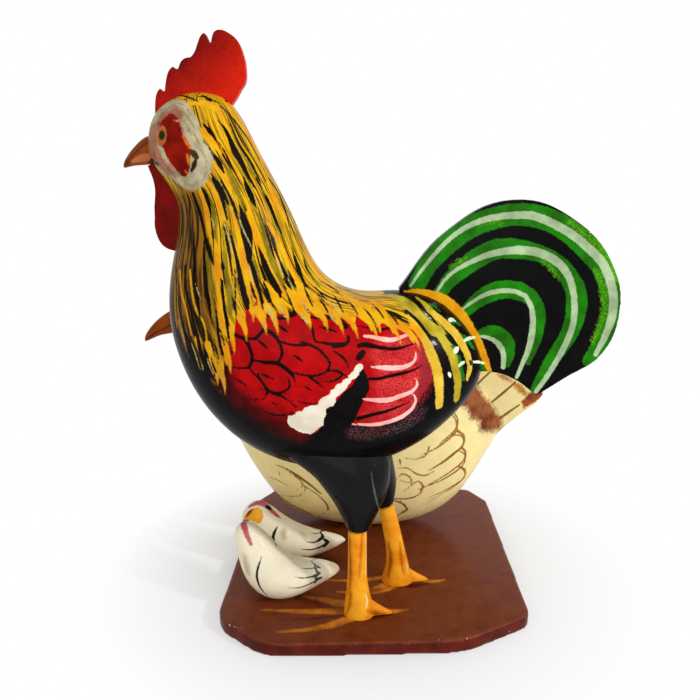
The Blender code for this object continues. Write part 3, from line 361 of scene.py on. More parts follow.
# Strokes of the brush, in groups that each begin with their window. A stroke has its widths at
# the start, middle and end, then x and y of each point, all in the window's units.
NECK_BLACK = (
    (HEAD,
     ((20, 40, 16), 225, 140, 330, 95, 450, 80, 560, 110, 690, 165),
     ((30, 44, 24), 745, 80, 800, 105, 850, 130), ((50, 60, 40), 830, 130, 850, 145, 865, 150),
     ((12, 32, 14), 660, 90, 780, 100, 880, 140, 985, 188),
     ((20, 36, 16), 1005, 235, 1090, 300, 1180, 410, 1300, 560, 1420, 740, 1568, 1010),
     ((10, 95, 22), 950, 415, 1060, 540, 1140, 700, 1200, 850, 1290, 1010, 1400, 1230, 1500, 1400),
     ((14, 62, 16), 740, 470, 830, 560, 880, 620, 955, 735),
     ((14, 40, 24), 735, 705, 830, 820, 890, 900),
     ((30, 72, 12), 900, 920, 960, 990, 1010, 1090, 1060, 1190),
     ((14, 28, 12), 980, 750, 1060, 870, 1130, 1020, 1180, 1120, 1290, 1340),
     ((18, 60, 30), 860, 1180, 950, 1310, 1040, 1470, 1110, 1620),
     ((10, 46, 30), 1120, 420, 1200, 620, 1290, 810, 1430, 1020, 1580, 1320),
     ((14, 62, 40), 1330, 1230, 1385, 1400, 1450, 1568), ((40, 60, 40), 1085, 160, 1150, 135),
     ((20, 52, 20), 735, 1380, 800, 1500, 860, 1640),
     ((20, 44, 16), 600, 1450, 640, 1568, 690, 1700), ((24, 30, 24), 900, 48, 925, 60),
     ((24, 40, 24), 1020, 70, 1060, 78), ((10, 18, 8), 400, 140, 540, 130, 620, 110)),
    (NECK,
     ((25, 80, 10), 320, 0, 370, 120, 410, 220, 485, 380),
     ((28, 42, 18), 470, -20, 560, 130, 640, 300, 700, 440, 760, 600, 805, 690),
     ((26, 50, 12), 640, -20, 760, 160, 830, 330, 880, 480, 905, 620),
     ((30, 34, 10), -20, 60, 30, 280, 75, 460),
     ((22, 30, 20), 20, 20, 120, 200, 200, 380, 250, 520),
     ((14, 135, 60), 250, 320, 300, 480, 345, 680, 370, 860, 385, 1060),
     ((60, 56, 30), 385, 1050, 440, 1200, 490, 1370, 560, 1600),
     ((14, 70, 90), 490, 850, 550, 1000, 610, 1170, 690, 1330),
     ((90, 70, 20), 690, 1330, 750, 1430, 800, 1520),
     ((14, 44, 24), 615, 590, 680, 760, 720, 900, 780, 1060),
     ((24, 58, 14), 780, 1050, 850, 1230, 900, 1330, 960, 1410),
     ((12, 24, 10), 40, 560, 80, 720, 130, 950, 150, 1200),
     ((12, 44, 60), 100, 560, 160, 800, 210, 1000, 250, 1180, 290, 1400, 340, 1600),
     ((14, 40, 30), 10, 1280, 30, 1420, 50, 1600), ((10, 26, 10), 400, 1350, 425, 1450, 440, 1530),
     ((12, 34, 24), 565, 1320, 620, 1450, 670, 1590),
     ((14, 74, 20), 950, 930, 1000, 1080, 1050, 1230, 1120, 1370),
     ((12, 38, 10), 1090, 990, 1130, 1150, 1230, 1310),
     ((12, 44, 16), 890, 1170, 945, 1310, 995, 1420),
     ((14, 32, 20), 1240, 1390, 1350, 1520, 1460, 1600),
     ((8, 20, 8), 880, 380, 960, 520, 1040, 660),
     ((10, 20, 10), 1300, 1310, 1440, 1400, 1560, 1460)),
    (THROAT,
     ((14, 36, 14), 275, 40, 360, 160), ((12, 42, 10), 420, 180, 460, 380, 470, 560, 468, 690),
     ((24, 56, 40), 520, 200, 570, 350, 630, 520, 670, 700, 705, 870),
     ((40, 80, 20), 705, 870, 760, 1060, 800, 1210, 845, 1340),
     ((20, 62, 14), 650, 110, 720, 250, 780, 430, 805, 545),
     ((60, 50, 22), 840, -20, 900, 120, 970, 260, 1010, 430, 1060, 640),
     ((14, 34, 14), 1000, 680, 1080, 900, 1170, 1130, 1250, 1350, 1300, 1600),
     ((12, 34, 20), 985, 700, 1040, 960, 1090, 1200, 1140, 1500),
     ((12, 34, 10), 800, 650, 830, 860, 842, 1070),
     ((12, 60, 70), 545, 750, 530, 1000, 540, 1250, 545, 1600),
     ((20, 46, 50), 690, 900, 690, 1150, 700, 1400, 705, 1620),
     ((10, 24, 16), 300, 760, 270, 1050, 250, 1600),
     ((10, 34, 30), 400, 1250, 405, 1400, 400, 1600),
     ((30, 64, 30), 975, 1300, 985, 1350, 990, 1420)),
    (BREAST,
     ((40, 42, 50), 195, -40, 210, 250, 260, 450, 300, 650, 360, 870),
     ((50, 70, 90), 360, 870, 400, 1060, 450, 1220),
     ((56, 60, 16), 320, -40, 330, 200, 362, 400, 390, 620, 402, 720),
     ((46, 66, 8), 450, -40, 470, 250, 510, 450, 552, 720),
     ((12, 36, 40), 575, 350, 610, 600, 640, 900, 690, 1110),
     ((12, 40, 30), 690, 130, 700, 400, 730, 620, 770, 900),
     ((16, 22, 16), 848, -20, 855, 300, 862, 660), ((44, 60, 80), 905, -20, 940, 200, 1000, 430),
     ((22, 26, 20), 92, -40, 82, 400, 100, 660), ((10, 40, 80), 170, 600, 200, 800, 270, 1010),
     ((10, 30, 40), 535, 1110, 560, 1230, 600, 1330)),
    (SHOULDER,
     ((70, 70, 50), 75, -20, 110, 150, 150, 320, 180, 400),
     ((20, 26, 10), 225, 60, 245, 160, 262, 230),
     ((24, 34, 20), 320, 50, 350, 130, 365, 250, 400, 420),
     ((60, 80, 60), 520, -20, 580, 80, 640, 180), ((30, 44, 12), 700, -20, 760, 70, 820, 150),
     ((24, 40, 10), 820, 0, 850, 70, 880, 120),
     ((16, 26, 12), 410, 60, 470, 200, 510, 330, 540, 400),
     ((16, 40, 14), 950, 0, 1000, 70, 1060, 130), ((14, 30, 14), 1260, 20, 1400, 120, 1530, 230),
     ((10, 22, 8), 1090, 120, 1200, 220, 1300, 330, 1400, 420)),
)
NECK_ORANGE = (
    (HEAD,
     ((40, 120, 50), 640, 500, 780, 620, 900, 760, 1010, 900),
     ((60, 150, 60), 560, 190, 760, 190, 930, 260, 1030, 380),
     ((30, 90, 40), 880, 980, 980, 1100, 1080, 1260, 1160, 1420)),
    (THROAT,
     ((60, 100, 60), 620, 160, 700, 380, 740, 620, 790, 840, 880, 1080, 920, 1300, 930, 1568),
     ((50, 90, 60), 800, 60, 900, 300, 960, 500, 1010, 620),
     ((40, 80, 90), 1100, 420, 1180, 640, 1250, 900, 1320, 1200, 1420, 1568)),
    (NECK,
     ((50, 90, 60), 360, 420, 440, 620, 480, 800, 560, 1000),
     ((50, 90, 40), 620, 30, 720, 240, 790, 420, 840, 560),
     ((30, 70, 50), 150, 360, 200, 600, 260, 860, 320, 1150, 380, 1500),
     ((30, 70, 40), 640, 560, 700, 680, 750, 780)),
    (BREAST,
     ((30, 40, 20), 130, 0, 150, 300, 220, 560, 280, 860),
     ((36, 46, 30), 260, 0, 290, 300, 340, 520, 450, 720, 490, 1050),
     ((40, 60, 60), 620, 0, 640, 400, 680, 800, 720, 1080, 745, 1220)),
    (SHOULDER,
     ((60, 130, 50), 440, 40, 540, 220, 620, 380, 650, 460),
     ((120, 200, 90), 780, 160, 860, 280, 930, 420, 980, 520),
     ((120, 170, 60), 880, 60, 980, 220, 1080, 380, 1190, 520),
     ((60, 90, 50), 1060, 180, 1180, 330, 1330, 470)),
    (SADDLE,
     ((90, 170, 60), 120, 230, 260, 320, 380, 400, 460, 470),
     ((60, 110, 30), 380, 280, 480, 390, 540, 500)),
)
NECK_OLIVE = (
    (HEAD,
     ((14, 44, 26), 1100, 400, 1190, 620, 1290, 860, 1420, 1080, 1568, 1360),
     ((16, 60, 40), 1010, 960, 1090, 1110, 1170, 1280, 1260, 1420),
     ((10, 44, 20), 880, 870, 960, 1000, 1010, 1130)),
    (THROAT,
     ((30, 50, 30), 560, 240, 620, 400, 650, 560),
     ((50, 60, 40), 700, 160, 800, 330, 860, 520, 890, 700),
     ((30, 50, 30), 900, 20, 1010, 220, 1060, 400),
     ((16, 40, 60), 960, 720, 1000, 1000, 1030, 1300, 1060, 1568),
     ((20, 40, 30), 680, 1080, 740, 1300, 790, 1568)),
    (NECK,
     ((30, 60, 60), 400, 280, 520, 520, 590, 760, 650, 1000, 720, 1180, 830, 1350),
     ((20, 50, 30), 430, 960, 480, 1150, 540, 1300),
     ((16, 40, 30), 900, 500, 930, 760, 970, 1000, 1060, 1240),
     ((30, 50, 30), 1020, 760, 1090, 1000, 1180, 1220, 1300, 1400),
     ((20, 60, 30), 30, 60, 90, 260, 120, 480), ((24, 60, 20), 110, 0, 220, 160, 330, 330)),
    (BREAST,
     ((30, 40, 20), 500, 0, 540, 240, 570, 460, 590, 700, 620, 900),
     ((30, 110, 60), 730, 0, 780, 300, 790, 560),
     ((20, 30, 20), 300, 620, 350, 820, 400, 960, 440, 1100),
     ((26, 30, 16), 60, 0, 60, 400, 90, 760), ((20, 40, 10), 870, 0, 890, 200, 930, 400)),
    (SADDLE,
     ((20, 50, 40), 60, 130, 260, 230, 460, 250, 560, 260)),
)
NECK_WISPS = (
    (NECK,
     ((8, 18, 10), 230, 440, 300, 640, 390, 830, 440, 960),
     ((8, 18, 8), 520, 10, 560, 110, 600, 200),
     ((8, 20, 10), 40, 560, 100, 700, 150, 880, 190, 1060),
     ((8, 16, 8), 720, 1000, 800, 1180, 840, 1280), ((8, 16, 8), 880, 1250, 910, 1330, 945, 1420),
     ((8, 20, 10), 375, 1090, 410, 1250, 440, 1400)),
    (THROAT,
     ((10, 20, 12), 1010, 680, 1070, 900, 1120, 1080, 1180, 1300),
     ((8, 20, 12), 790, 550, 830, 660, 860, 780)),
    (BREAST,
     ((14, 24, 6), 280, 950, 320, 1060, 370, 1230, 400, 1300),
     ((14, 24, 6), 480, 1140, 520, 1260, 580, 1380, 620, 1460),
     ((14, 26, 6), 620, 1180, 660, 1320, 700, 1470, 720, 1540),
     ((10, 20, 8), 120, 640, 160, 800, 200, 980), ((8, 20, 8), 330, 170, 370, 300, 420, 420)),
    (SHOULDER,
     ((20, 34, 8), 440, 350, 500, 450, 540, 560, 570, 640),
     ((18, 30, 8), 620, 360, 680, 460, 730, 560), ((20, 40, 8), 950, 500, 1010, 580, 1040, 650),
     ((20, 30, 8), 1330, 480, 1400, 560, 1470, 660), ((12, 20, 8), 760, 0, 800, 60, 830, 120),
     ((14, 26, 10), 940, 290, 1000, 380, 1050, 460),
     ((16, 30, 12), 1280, 240, 1400, 360, 1530, 520), ((20, 40, 16), 1250, 0, 1400, 60, 1568, 140),
     ((14, 22, 6), 390, 590, 410, 650, 425, 710)),
)
WING_BLACK = (
    (WING,
     ((20, 36, 40), 590, 40, 650, 70, 770, 100, 850, 95),
     ((40, 70, 50), 870, 70, 920, 55, 960, 30),
     ((24, 40, 60), 1090, 50, 1180, 90, 1290, 95, 1400, 90, 1480, 130, 1580, 200),
     ((30, 40, 26), 1110, 110, 1170, 220, 1190, 320, 1215, 385),
     ((26, 38, 40), 1215, 385, 1300, 395, 1400, 412, 1580, 408),
     ((30, 30, 30), 790, 380, 900, 415, 1020, 425, 1120, 420),
     ((30, 34, 30), 1040, 385, 1180, 435, 1280, 500, 1350, 580, 1388, 640),
     ((28, 30, 30), 1388, 640, 1370, 705, 1320, 760, 1200, 792, 1050, 782, 940, 752),
     ((24, 38, 40), 360, 335, 480, 345, 540, 290, 585, 245),
     ((44, 50, 34), 580, 240, 660, 260, 730, 320, 790, 420),
     ((36, 38, 20), 790, 420, 812, 520, 775, 610, 740, 650),
     ((40, 50, 40), 225, 285, 300, 325, 360, 350, 420, 460, 450, 560),
     ((40, 34, 24), 450, 560, 440, 630, 400, 690, 300, 702, 190, 682),
     ((14, 40, 12), 480, 340, 560, 400, 620, 450, 660, 500),
     ((26, 50, 50), 460, 600, 600, 632, 740, 640, 850, 700),
     ((50, 46, 16), 850, 700, 930, 780, 970, 870),
     ((24, 38, 34), 400, 700, 500, 790, 570, 870, 640, 965, 730, 1000),
     ((34, 34, 20), 730, 1000, 830, 990, 900, 930, 895, 860, 880, 810),
     ((14, 34, 26), 500, 920, 600, 970, 700, 1010, 820, 1050, 900, 1100, 985, 1175),
     ((16, 28, 26), 290, 1030, 400, 1072, 520, 1080, 600, 1050, 628, 1000, 612, 955),
     ((10, 30, 22), 940, 1080, 1080, 1122, 1235, 1140),
     ((12, 34, 26), 500, 1180, 600, 1220, 700, 1262, 850, 1268, 935, 1235),
     ((24, 38, 16), 1120, 800, 1220, 862, 1320, 940),
     ((14, 32, 24), 1280, 862, 1400, 862, 1480, 832, 1532, 790),
     ((24, 34, 24), 1370, 740, 1440, 730, 1500, 745, 1600, 800),
     ((12, 42, 12), 745, 170, 820, 225, 890, 280), ((12, 36, 14), 1250, 205, 1360, 230, 1480, 268),
     ((12, 42, 12), 905, 530, 1000, 575, 1095, 648),
     ((12, 30, 30), 1425, 505, 1500, 545, 1580, 610), ((12, 40, 12), 515, 755, 620, 795, 725, 845),
     ((12, 34, 12), 195, 810, 310, 865, 405, 940), ((12, 34, 12), 1025, 905, 1100, 935, 1185, 980),
     ((12, 30, 12), 615, 1100, 740, 1135, 825, 1195),
     ((12, 34, 12), 165, 485, 200, 510, 245, 525)),
    (WING_REAR,
     ((14, 36, 24), 245, 290, 370, 310, 440, 330, 560, 325, 700, 278),
     ((46, 56, 40), 265, 515, 330, 500, 500, 532),
     ((42, 36, 18), 500, 532, 650, 548, 780, 522, 900, 480),
     ((66, 80, 56), 265, 650, 290, 615, 315, 585),
     ((36, 40, 20), 380, 882, 500, 880, 620, 850, 760, 820, 870, 790, 965, 738),
     ((50, 38, 14), 250, 1330, 400, 1290, 560, 1250, 700, 1200, 855, 1130),
     ((36, 40, 30), -20, 520, 100, 508, 150, 460, 148, 405),
     ((20, 30, 16), -10, 570, 80, 630, 130, 700, 160, 775),
     ((16, 28, 10), -10, 795, 60, 815, 125, 850), ((50, 60, 24), -10, 180, 60, 230, 130, 310),
     ((20, 42, 30), 115, 212, 165, 198, 215, 186)),
    (SHOULDER,
     ((40, 80, 40), 730, 500, 790, 500, 850, 500), ((10, 60, 50), 780, 340, 830, 410, 860, 480),
     ((14, 34, 10), 930, 530, 980, 580, 1020, 620), ((14, 34, 30), 400, 460, 450, 500, 520, 530),
     ((24, 32, 30), 520, 530, 620, 545, 720, 545)),
)
WING_PINK = (
    (WING_REAR,
     ((16, 34, 26), 590, 215, 630, 200, 690, 190),
     ((26, 46, 26), 330, 402, 450, 420, 600, 448, 700, 432, 812, 385),
     ((14, 48, 44), 400, 748, 500, 755, 640, 762, 760, 755),
     ((44, 30, 12), 760, 755, 850, 720, 900, 660, 905, 580),
     ((20, 48, 44), 315, 1108, 450, 1122, 600, 1120, 720, 1080),
     ((44, 32, 12), 720, 1080, 850, 1030, 922, 950, 898, 865),
     ((18, 40, 44), 200, 1390, 430, 1397, 600, 1365, 750, 1310),
     ((44, 34, 16), 750, 1310, 860, 1220, 907, 1120, 880, 1060)),
)
SADDLE_OLIVE = (
    (SADDLE,
     ((120, 170, 90), 540, 240, 700, 300, 850, 420, 960, 560),
     ((40, 90, 100), 480, 235, 620, 262, 760, 315, 880, 405, 980, 525, 1060, 645),
     ((100, 84, 60), 1060, 645, 1120, 760, 1155, 880, 1178, 1000, 1175, 1120, 1168, 1190),
     ((30, 60, 70), 800, 255, 900, 335, 980, 430)),
)
SADDLE_YELLOW = (
    (SADDLE,
     ((70, 100, 96), 960, 400, 1060, 490, 1160, 590, 1220, 680),
     ((90, 80, 40), 1220, 680, 1270, 790, 1290, 900, 1265, 1000),
     ((50, 80, 90), 560, 330, 680, 420, 790, 520, 880, 640, 930, 760),
     ((86, 92, 70), 930, 760, 980, 900, 1005, 1050, 1010, 1180, 1005, 1250)),
)
SADDLE_ORANGE = (
    (SADDLE,
     ((20, 86, 96), 690, 200, 800, 198, 900, 215, 1040, 265, 1130, 335, 1220, 430),
     ((96, 92, 40), 1220, 430, 1300, 560, 1370, 690, 1425, 810, 1470, 930),
     ((60, 70, 60), 420, 235, 560, 285, 640, 400), ((60, 60, 8), 640, 400, 710, 540, 780, 690),
     ((40, 80, 60), 350, 290, 480, 330, 600, 400, 700, 490),
     ((40, 70, 30), 690, 440, 780, 530, 850, 630)),
)
SADDLE_GREEN = (
    (SADDLE,
     ((30, 50, 40), 910, 315, 960, 330, 1010, 370),
     ((40, 56, 50), 1080, 420, 1150, 490, 1190, 500),
     ((50, 70, 50), 1220, 590, 1280, 660, 1320, 720), ((20, 40, 20), 1120, 700, 1160, 720),
     ((40, 46, 30), 1190, 800, 1215, 930, 1235, 1010)),
)
SADDLE_WHITE = (
    (SADDLE,
     ((36, 44, 26), 1100, 465, 1130, 455, 1155, 470),
     ((20, 36, 24), 1235, 655, 1280, 630, 1330, 622),
     ((30, 60, 36), 1150, 760, 1165, 735, 1180, 720),
     ((20, 36, 20), 1190, 885, 1215, 860, 1240, 850),
     ((20, 30, 20), 1318, 850, 1370, 848, 1420, 860),
     ((20, 40, 20), 1095, 950, 1105, 970, 1112, 985), ((6, 10, 6), 830, 350, 890, 410, 950, 470)),
)
SADDLE_BLACK = (
    (SADDLE,
     ((30, 60, 50), 590, 205, 700, 238, 800, 300, 870, 380),
     ((40, 46, 16), 870, 380, 940, 450, 1000, 510), ((16, 36, 26), 560, 300, 640, 370, 700, 400),
     ((26, 36, 26), 700, 370, 790, 450, 870, 550, 935, 650),
     ((40, 66, 40), 1000, 350, 1045, 380, 1085, 420),
     ((40, 66, 40), 1160, 510, 1195, 545, 1225, 580),
     ((26, 44, 20), 1070, 600, 1105, 640, 1130, 680),
     ((20, 50, 56), 940, 650, 1010, 760, 1065, 890, 1100, 1010),
     ((50, 80, 60), 1300, 740, 1340, 780, 1380, 830), ((20, 36, 10), 0, 160, 60, 210, 110, 255),
     ((10, 18, 10), 60, 120, 240, 210, 360, 290), ((16, 24, 16), 470, 215, 560, 195, 640, 180),
     ((20, 60, 40), 610, 190, 650, 200, 690, 205)),
)
FACE_TOUCHES = (
    (HEAD,
     ((14, 40, 34), 458, 650, 520, 750, 590, 850), ((30, 52, 24), 530, 920, 545, 1000, 560, 1070),
     ((24, 34, 14), 500, 1150, 520, 1180, 545, 1190)),
)
FACE_PALE_LINES = (
    (HEAD,
     ((8, 24, 8), 235, 955, 300, 1060, 360, 1130, 430, 1190),
     ((16, 44, 20), 340, 430, 400, 440, 470, 430), ((12, 30, 24), 430, 480, 470, 600, 560, 760),
     ((10, 30, 10), 95, 930, 170, 1060, 270, 1170, 370, 1270)),
)
FACE_STREAKS = (
    (HEAD,
     ((8, 20, 8), 160, 330, 280, 240, 400, 230, 500, 300),
     ((8, 16, 8), 240, 260, 370, 190, 490, 220, 580, 340),
     ((8, 18, 8), 330, 290, 450, 300, 560, 420, 640, 560),
     ((6, 16, 6), 540, 480, 620, 610, 700, 760, 780, 880),
     ((6, 14, 6), 640, 760, 740, 880, 800, 1010, 800, 1120),
     ((6, 14, 6), 700, 1290, 620, 1360, 520, 1340, 440, 1270),
     ((6, 12, 6), 820, 1130, 780, 1240, 700, 1340), ((8, 26, 10), 470, 420, 530, 520, 590, 640),
     ((6, 12, 6), 100, 420, 190, 320, 300, 260)),
)
FACE_DARK = (
    (HEAD,
     ((30, 76, 50), 580, 860, 630, 915, 668, 960), ((30, 60, 26), 650, 990, 630, 1070, 585, 1160),
     ((10, 24, 10), 130, 440, 125, 470, 120, 500), ((20, 70, 30), -30, 950, 40, 1010, 120, 1060)),
)
BEAK_LINES = (
    (PHOTO,
     ((1.0, 1.5, 2.4), 150, 140.5, 140, 148.2, 130, 158.5),
     ((2.0, 5.0, 4.0), 129.5, 159.5, 127.5, 162, 126, 163.5),
     ((2.4, 3.4, 2.0), 155, 152, 153, 158, 150, 162),
     ((1.0, 1.8, 2.0), 173, 324, 159, 331, 147, 338.5)),
)
BEAK_UNDER = (
    (PHOTO,
     ((7.0, 8.0, 3.0), 153, 157, 142, 158.5, 133, 161.5),
     ((5.0, 5.0, 2.0), 172, 334, 160, 338, 149, 341)),
)
# A painted sheen down the near thigh's right edge, and a pale line at its cuff
THIGH_SHEEN_AND_CUFF_LINES = (
    (HEN,
     ((6, 13, 8), 862, 490, 872, 570, 888, 650, 914, 750),
     ((5, 9, 5), 690, 830, 696, 870, 704, 890)),
)
# Painted shade: red-brown strokes down the edges of the legs and round the feet
LEG_PAINTED_SHADES = (
    (BOARD,
     ((10, 16, 10), 657, -120, 660, -40, 664, 60, 660, 160),
     ((4, 7, 4), 722, -120, 716, -20, 706, 110), ((8, 14, 4), 664, 180, 660, 240, 640, 300),
     ((6, 16, 10), 850, -60, 862, 20, 850, 100), ((4, 8, 4), 905, -60, 915, 30, 925, 90),
     ((6, 14, 6), 750, 275, 790, 285, 830, 290)),
)
# Painted highlights: pale yellow and white strips down the legs
LEG_PAINTED_HIGHLIGHTS = (
    (BOARD,
     ((4, 9, 4), 738, -110, 741, 0, 738, 110), ((5, 15, 6), 740, 195, 746, 225, 744, 255),
     ((3, 8, 4), 936, 20, 944, 70, 948, 92)),
)
TOES = (
    (BOARD,
     ((46, 30, 5), 660, 312, 560, 345, 450, 365, 305, 377),
     ((44, 32, 5), 660, 275, 560, 276, 400, 276, 228, 268),
     ((60, 34, 6), 660, 240, 600, 236, 540, 220, 436, 203),
     ((40, 26, 5), 810, 270, 870, 276, 945, 267),
     ((30, 22, 6), 850, 108, 760, 118, 650, 125, 550, 123),
     ((60, 36, 8), 880, 125, 830, 150, 765, 167),
     ((30, 20, 6), 880, 150, 820, 175, 730, 185, 600, 180),
     ((30, 20, 5), 1030, 124, 1075, 129, 1125, 121)),
)
# Painted shadow: dark red-brown strokes round the feet on the board
TOE_PAINTED_SHADOWS = (
    (BOARD,
     ((24, 44, 20), 680, 322, 760, 303, 855, 290), ((20, 40, 16), 880, 135, 960, 152, 1040, 140),
     ((20, 44, 20), 770, 118, 800, 112, 830, 120), ((10, 20, 8), 600, 300, 500, 310, 400, 318)),
)
CHIPS = (
    (BOARD,
     ((3, 9, 3), 66, 338, 72, 346, 76, 352), ((3, 8, 3), 92, 352, 104, 354, 112, 354),
     ((2, 5, 2), 124, 358, 130, 358, 134, 359), ((2, 6, 2), 1228, 400, 1234, 408, 1234, 418),
     ((2, 6, 2), 1436, 372, 1446, 376, 1452, 376), ((2, 4, 2), 1090, 408, 1096, 412, 1098, 418)),
)
CHICK_PINK = (
    (CHICK,
     ((50, 62, 30), 195, 412, 240, 405, 290, 395),
     ((90, 72, 50), 235, 430, 262, 530, 295, 610, 325, 678),
     ((50, 96, 70), 310, 205, 400, 165, 500, 180, 570, 240),
     ((70, 66, 30), 570, 240, 630, 300, 690, 345)),
)
# Brown strokes at the chicks' beaks; the one at the left of the rear chick's orange patch is
# painted shade under the beak
CHICK_BROWN_AND_SHADE = (
    (CHICK,
     ((30, 50, 20), 270, 330, 300, 285, 350, 240), ((20, 36, 20), 180, 425, 240, 388, 300, 385)),
)
CHICK_BLACK = (
    (CHICK,
     ((60, 72, 50), 528, 212, 548, 218, 566, 232),
     ((6, 30, 40), 462, 830, 430, 925, 402, 1020, 400, 1100),
     ((40, 30, 12), 400, 1100, 428, 1195, 480, 1275, 545, 1335),
     ((10, 40, 44), 660, 455, 622, 525, 602, 590), ((44, 38, 14), 602, 590, 612, 645, 650, 702),
     ((10, 22, 34), 1025, 650, 1120, 658, 1185, 620, 1225, 575),
     ((10, 22, 30), 955, 742, 1080, 748, 1180, 722, 1245, 690),
     ((8, 18, 10), 930, 828, 1050, 832, 1160, 800, 1255, 775),
     ((8, 18, 12), 1075, 538, 1130, 546, 1185, 540),
     ((26, 46, 40), 1195, 530, 1228, 585, 1170, 635),
     ((30, 60, 44), 1232, 612, 1285, 655, 1240, 705)),
)
CHICK_GREY = (
    (CHICK,
     ((8, 20, 14), 965, 982, 1060, 986, 1195, 970),
     ((8, 20, 22), 878, 1092, 980, 1106, 1080, 1088, 1145, 1058),
     ((8, 22, 24), 798, 1226, 920, 1226, 1030, 1192, 1205, 1108),
     ((8, 24, 18), 1078, 890, 1130, 940, 1195, 976),
     ((18, 32, 34), 1126, 950, 1150, 1020, 1190, 1046),
     ((34, 48, 34), 1105, 1085, 1145, 1070, 1180, 1050),
     ((34, 52, 24), 1125, 1165, 1160, 1120, 1215, 1095),
     ((30, 40, 12), 1140, 1060, 1140, 1100, 1135, 1160)),
)
# Pale olive patches on the chicks; the long one down the chick's left side is painted shade
CHICK_SHADE_AND_OLIVE_PATCHES = (
    (CHICK,
     ((60, 90, 60), 245, 840, 265, 940, 290, 1040), ((40, 60, 40), 745, 500, 730, 560, 745, 600),
     ((60, 90, 60), 1330, 930, 1400, 980, 1450, 1010),
     ((40, 50, 30), 970, 560, 1000, 590, 1010, 610)),
)
HEN_WING_LINES = (
    (HEN,
     ((10, 14, 8), 1400, 60, 1450, 130, 1430, 205, 1340, 290),
     ((10, 16, 10), 1405, 238, 1475, 245, 1490, 300, 1400, 385, 1280, 465),
     ((8, 14, 8), 1300, 335, 1360, 270, 1410, 235),
     ((10, 18, 8), 1455, 345, 1502, 375, 1480, 450, 1370, 530, 1245, 588),
     ((8, 13, 6), 1460, 458, 1497, 492, 1470, 555, 1370, 625, 1245, 695),
     ((8, 16, 12), 1280, 468, 1370, 405, 1480, 318),
     ((6, 12, 14), 1080, 395, 1160, 402, 1230, 380, 1255, 320),
     ((8, 14, 8), 1035, 462, 1110, 465, 1165, 502, 1225, 515, 1290, 485),
     ((6, 16, 10), 1180, 555, 1215, 600, 1185, 645, 1110, 672, 1005, 672),
     ((5, 9, 4), 1050, 545, 1100, 560, 1150, 560),
     ((8, 22, 14), 1055, 685, 1105, 745, 1065, 772, 1025, 798),
     ((6, 18, 8), 1050, 398, 1058, 420, 1060, 442), ((8, 14, 6), 150, 518, 230, 550, 295, 588),
     ((5, 10, 5), 300, 498, 375, 545, 390, 590, 345, 612),
     ((6, 14, 8), 200, 638, 290, 656, 380, 650, 412, 610, 398, 575),
     ((8, 14, 8), 410, 590, 500, 650, 565, 722, 560, 762, 495, 788),
     ((8, 20, 8), 552, 705, 566, 735, 558, 762), ((5, 11, 5), 615, 762, 640, 776, 662, 792),
     ((5, 9, 4), 355, 682, 390, 684, 425, 692),
     ((10, 22, 14), 200, 436, 300, 480, 420, 560, 520, 640),
     ((6, 10, 6), 225, 480, 235, 500, 238, 520)),
)
HEN_EYE = (
    (PHOTO,
     ((4.4, 5.0, 4.4), 184.5, 314, 185.5, 315, 186.5, 316)),
)
HEN_EYE_RING = (
    (PHOTO,
     ((8.0, 9.5, 8.0), 183.5, 313.5, 185.5, 315, 187.5, 316.5)),
)
TAIL_QUILLS = (
    (FAN,
     ((18, 30, 48), 130, 600, 200, 500, 300, 380, 400, 285, 500, 222, 600, 184, 700, 165, 800, 157,
      880, 158),
     ((50, 52, 56), 880, 158, 960, 182, 1050, 225, 1150, 285, 1250, 370, 1330, 455, 1380, 560),
     ((56, 56, 30), 1380, 560, 1402, 680, 1390, 800, 1350, 915, 1290, 1030),
     ((14, 30, 50), 290, 645, 340, 570, 400, 512, 500, 455, 600, 412, 700, 387, 800, 376),
     ((54, 52, 40), 800, 376, 900, 385, 1000, 420, 1080, 482, 1130, 565, 1155, 670),
     ((40, 40, 28), 1155, 670, 1157, 770, 1142, 865, 1100, 970, 1040, 1080, 970, 1190, 915, 1265),
     ((14, 30, 28), 445, 755, 520, 700, 600, 655, 700, 632, 780, 636, 850, 665),
     ((28, 42, 22), 850, 665, 885, 730, 896, 810, 890, 900, 868, 1000, 830, 1090, 795, 1175),
     ((16, 36, 30), 560, 918, 620, 928, 680, 965, 712, 1030, 710, 1112)),
    (TAIL,
     ((14, 22, 12), 480, 1110, 560, 1090, 640, 1112)),
)
TAIL_GREEN = (
    (FAN,
     ((110, 135, 135), 170, 590, 250, 455, 350, 350, 450, 265, 550, 212, 650, 178, 750, 155),
     ((135, 140, 150), 750, 155, 850, 155, 950, 172, 1050, 212, 1150, 278, 1250, 370),
     ((150, 140, 120), 1250, 370, 1330, 470, 1375, 590, 1388, 700),
     ((120, 120, 90), 1388, 700, 1380, 800, 1350, 890, 1310, 980, 1250, 1070),
     ((80, 125, 125), 310, 650, 380, 560, 460, 490, 560, 420, 660, 373, 760, 365),
     ((125, 100, 118), 760, 365, 860, 380, 960, 408, 1050, 462, 1120, 540),
     ((118, 135, 110), 1120, 540, 1165, 635, 1170, 730, 1152, 830, 1115, 920),
     ((110, 90, 50), 1115, 920, 1050, 1015, 975, 1130, 905, 1250),
     ((70, 115, 115), 460, 775, 550, 692, 640, 642, 730, 624, 810, 635),
     ((112, 92, 92), 810, 635, 880, 672, 925, 745, 930, 820),
     ((90, 70, 30), 930, 820, 920, 910, 895, 1000, 868, 1085),
     ((40, 80, 90), 550, 900, 630, 882, 700, 910, 742, 970),
     ((80, 60, 30), 742, 970, 752, 1030, 742, 1095)),
    (TAIL,
     ((30, 60, 30), 480, 1140, 560, 1110, 640, 1140)),
)
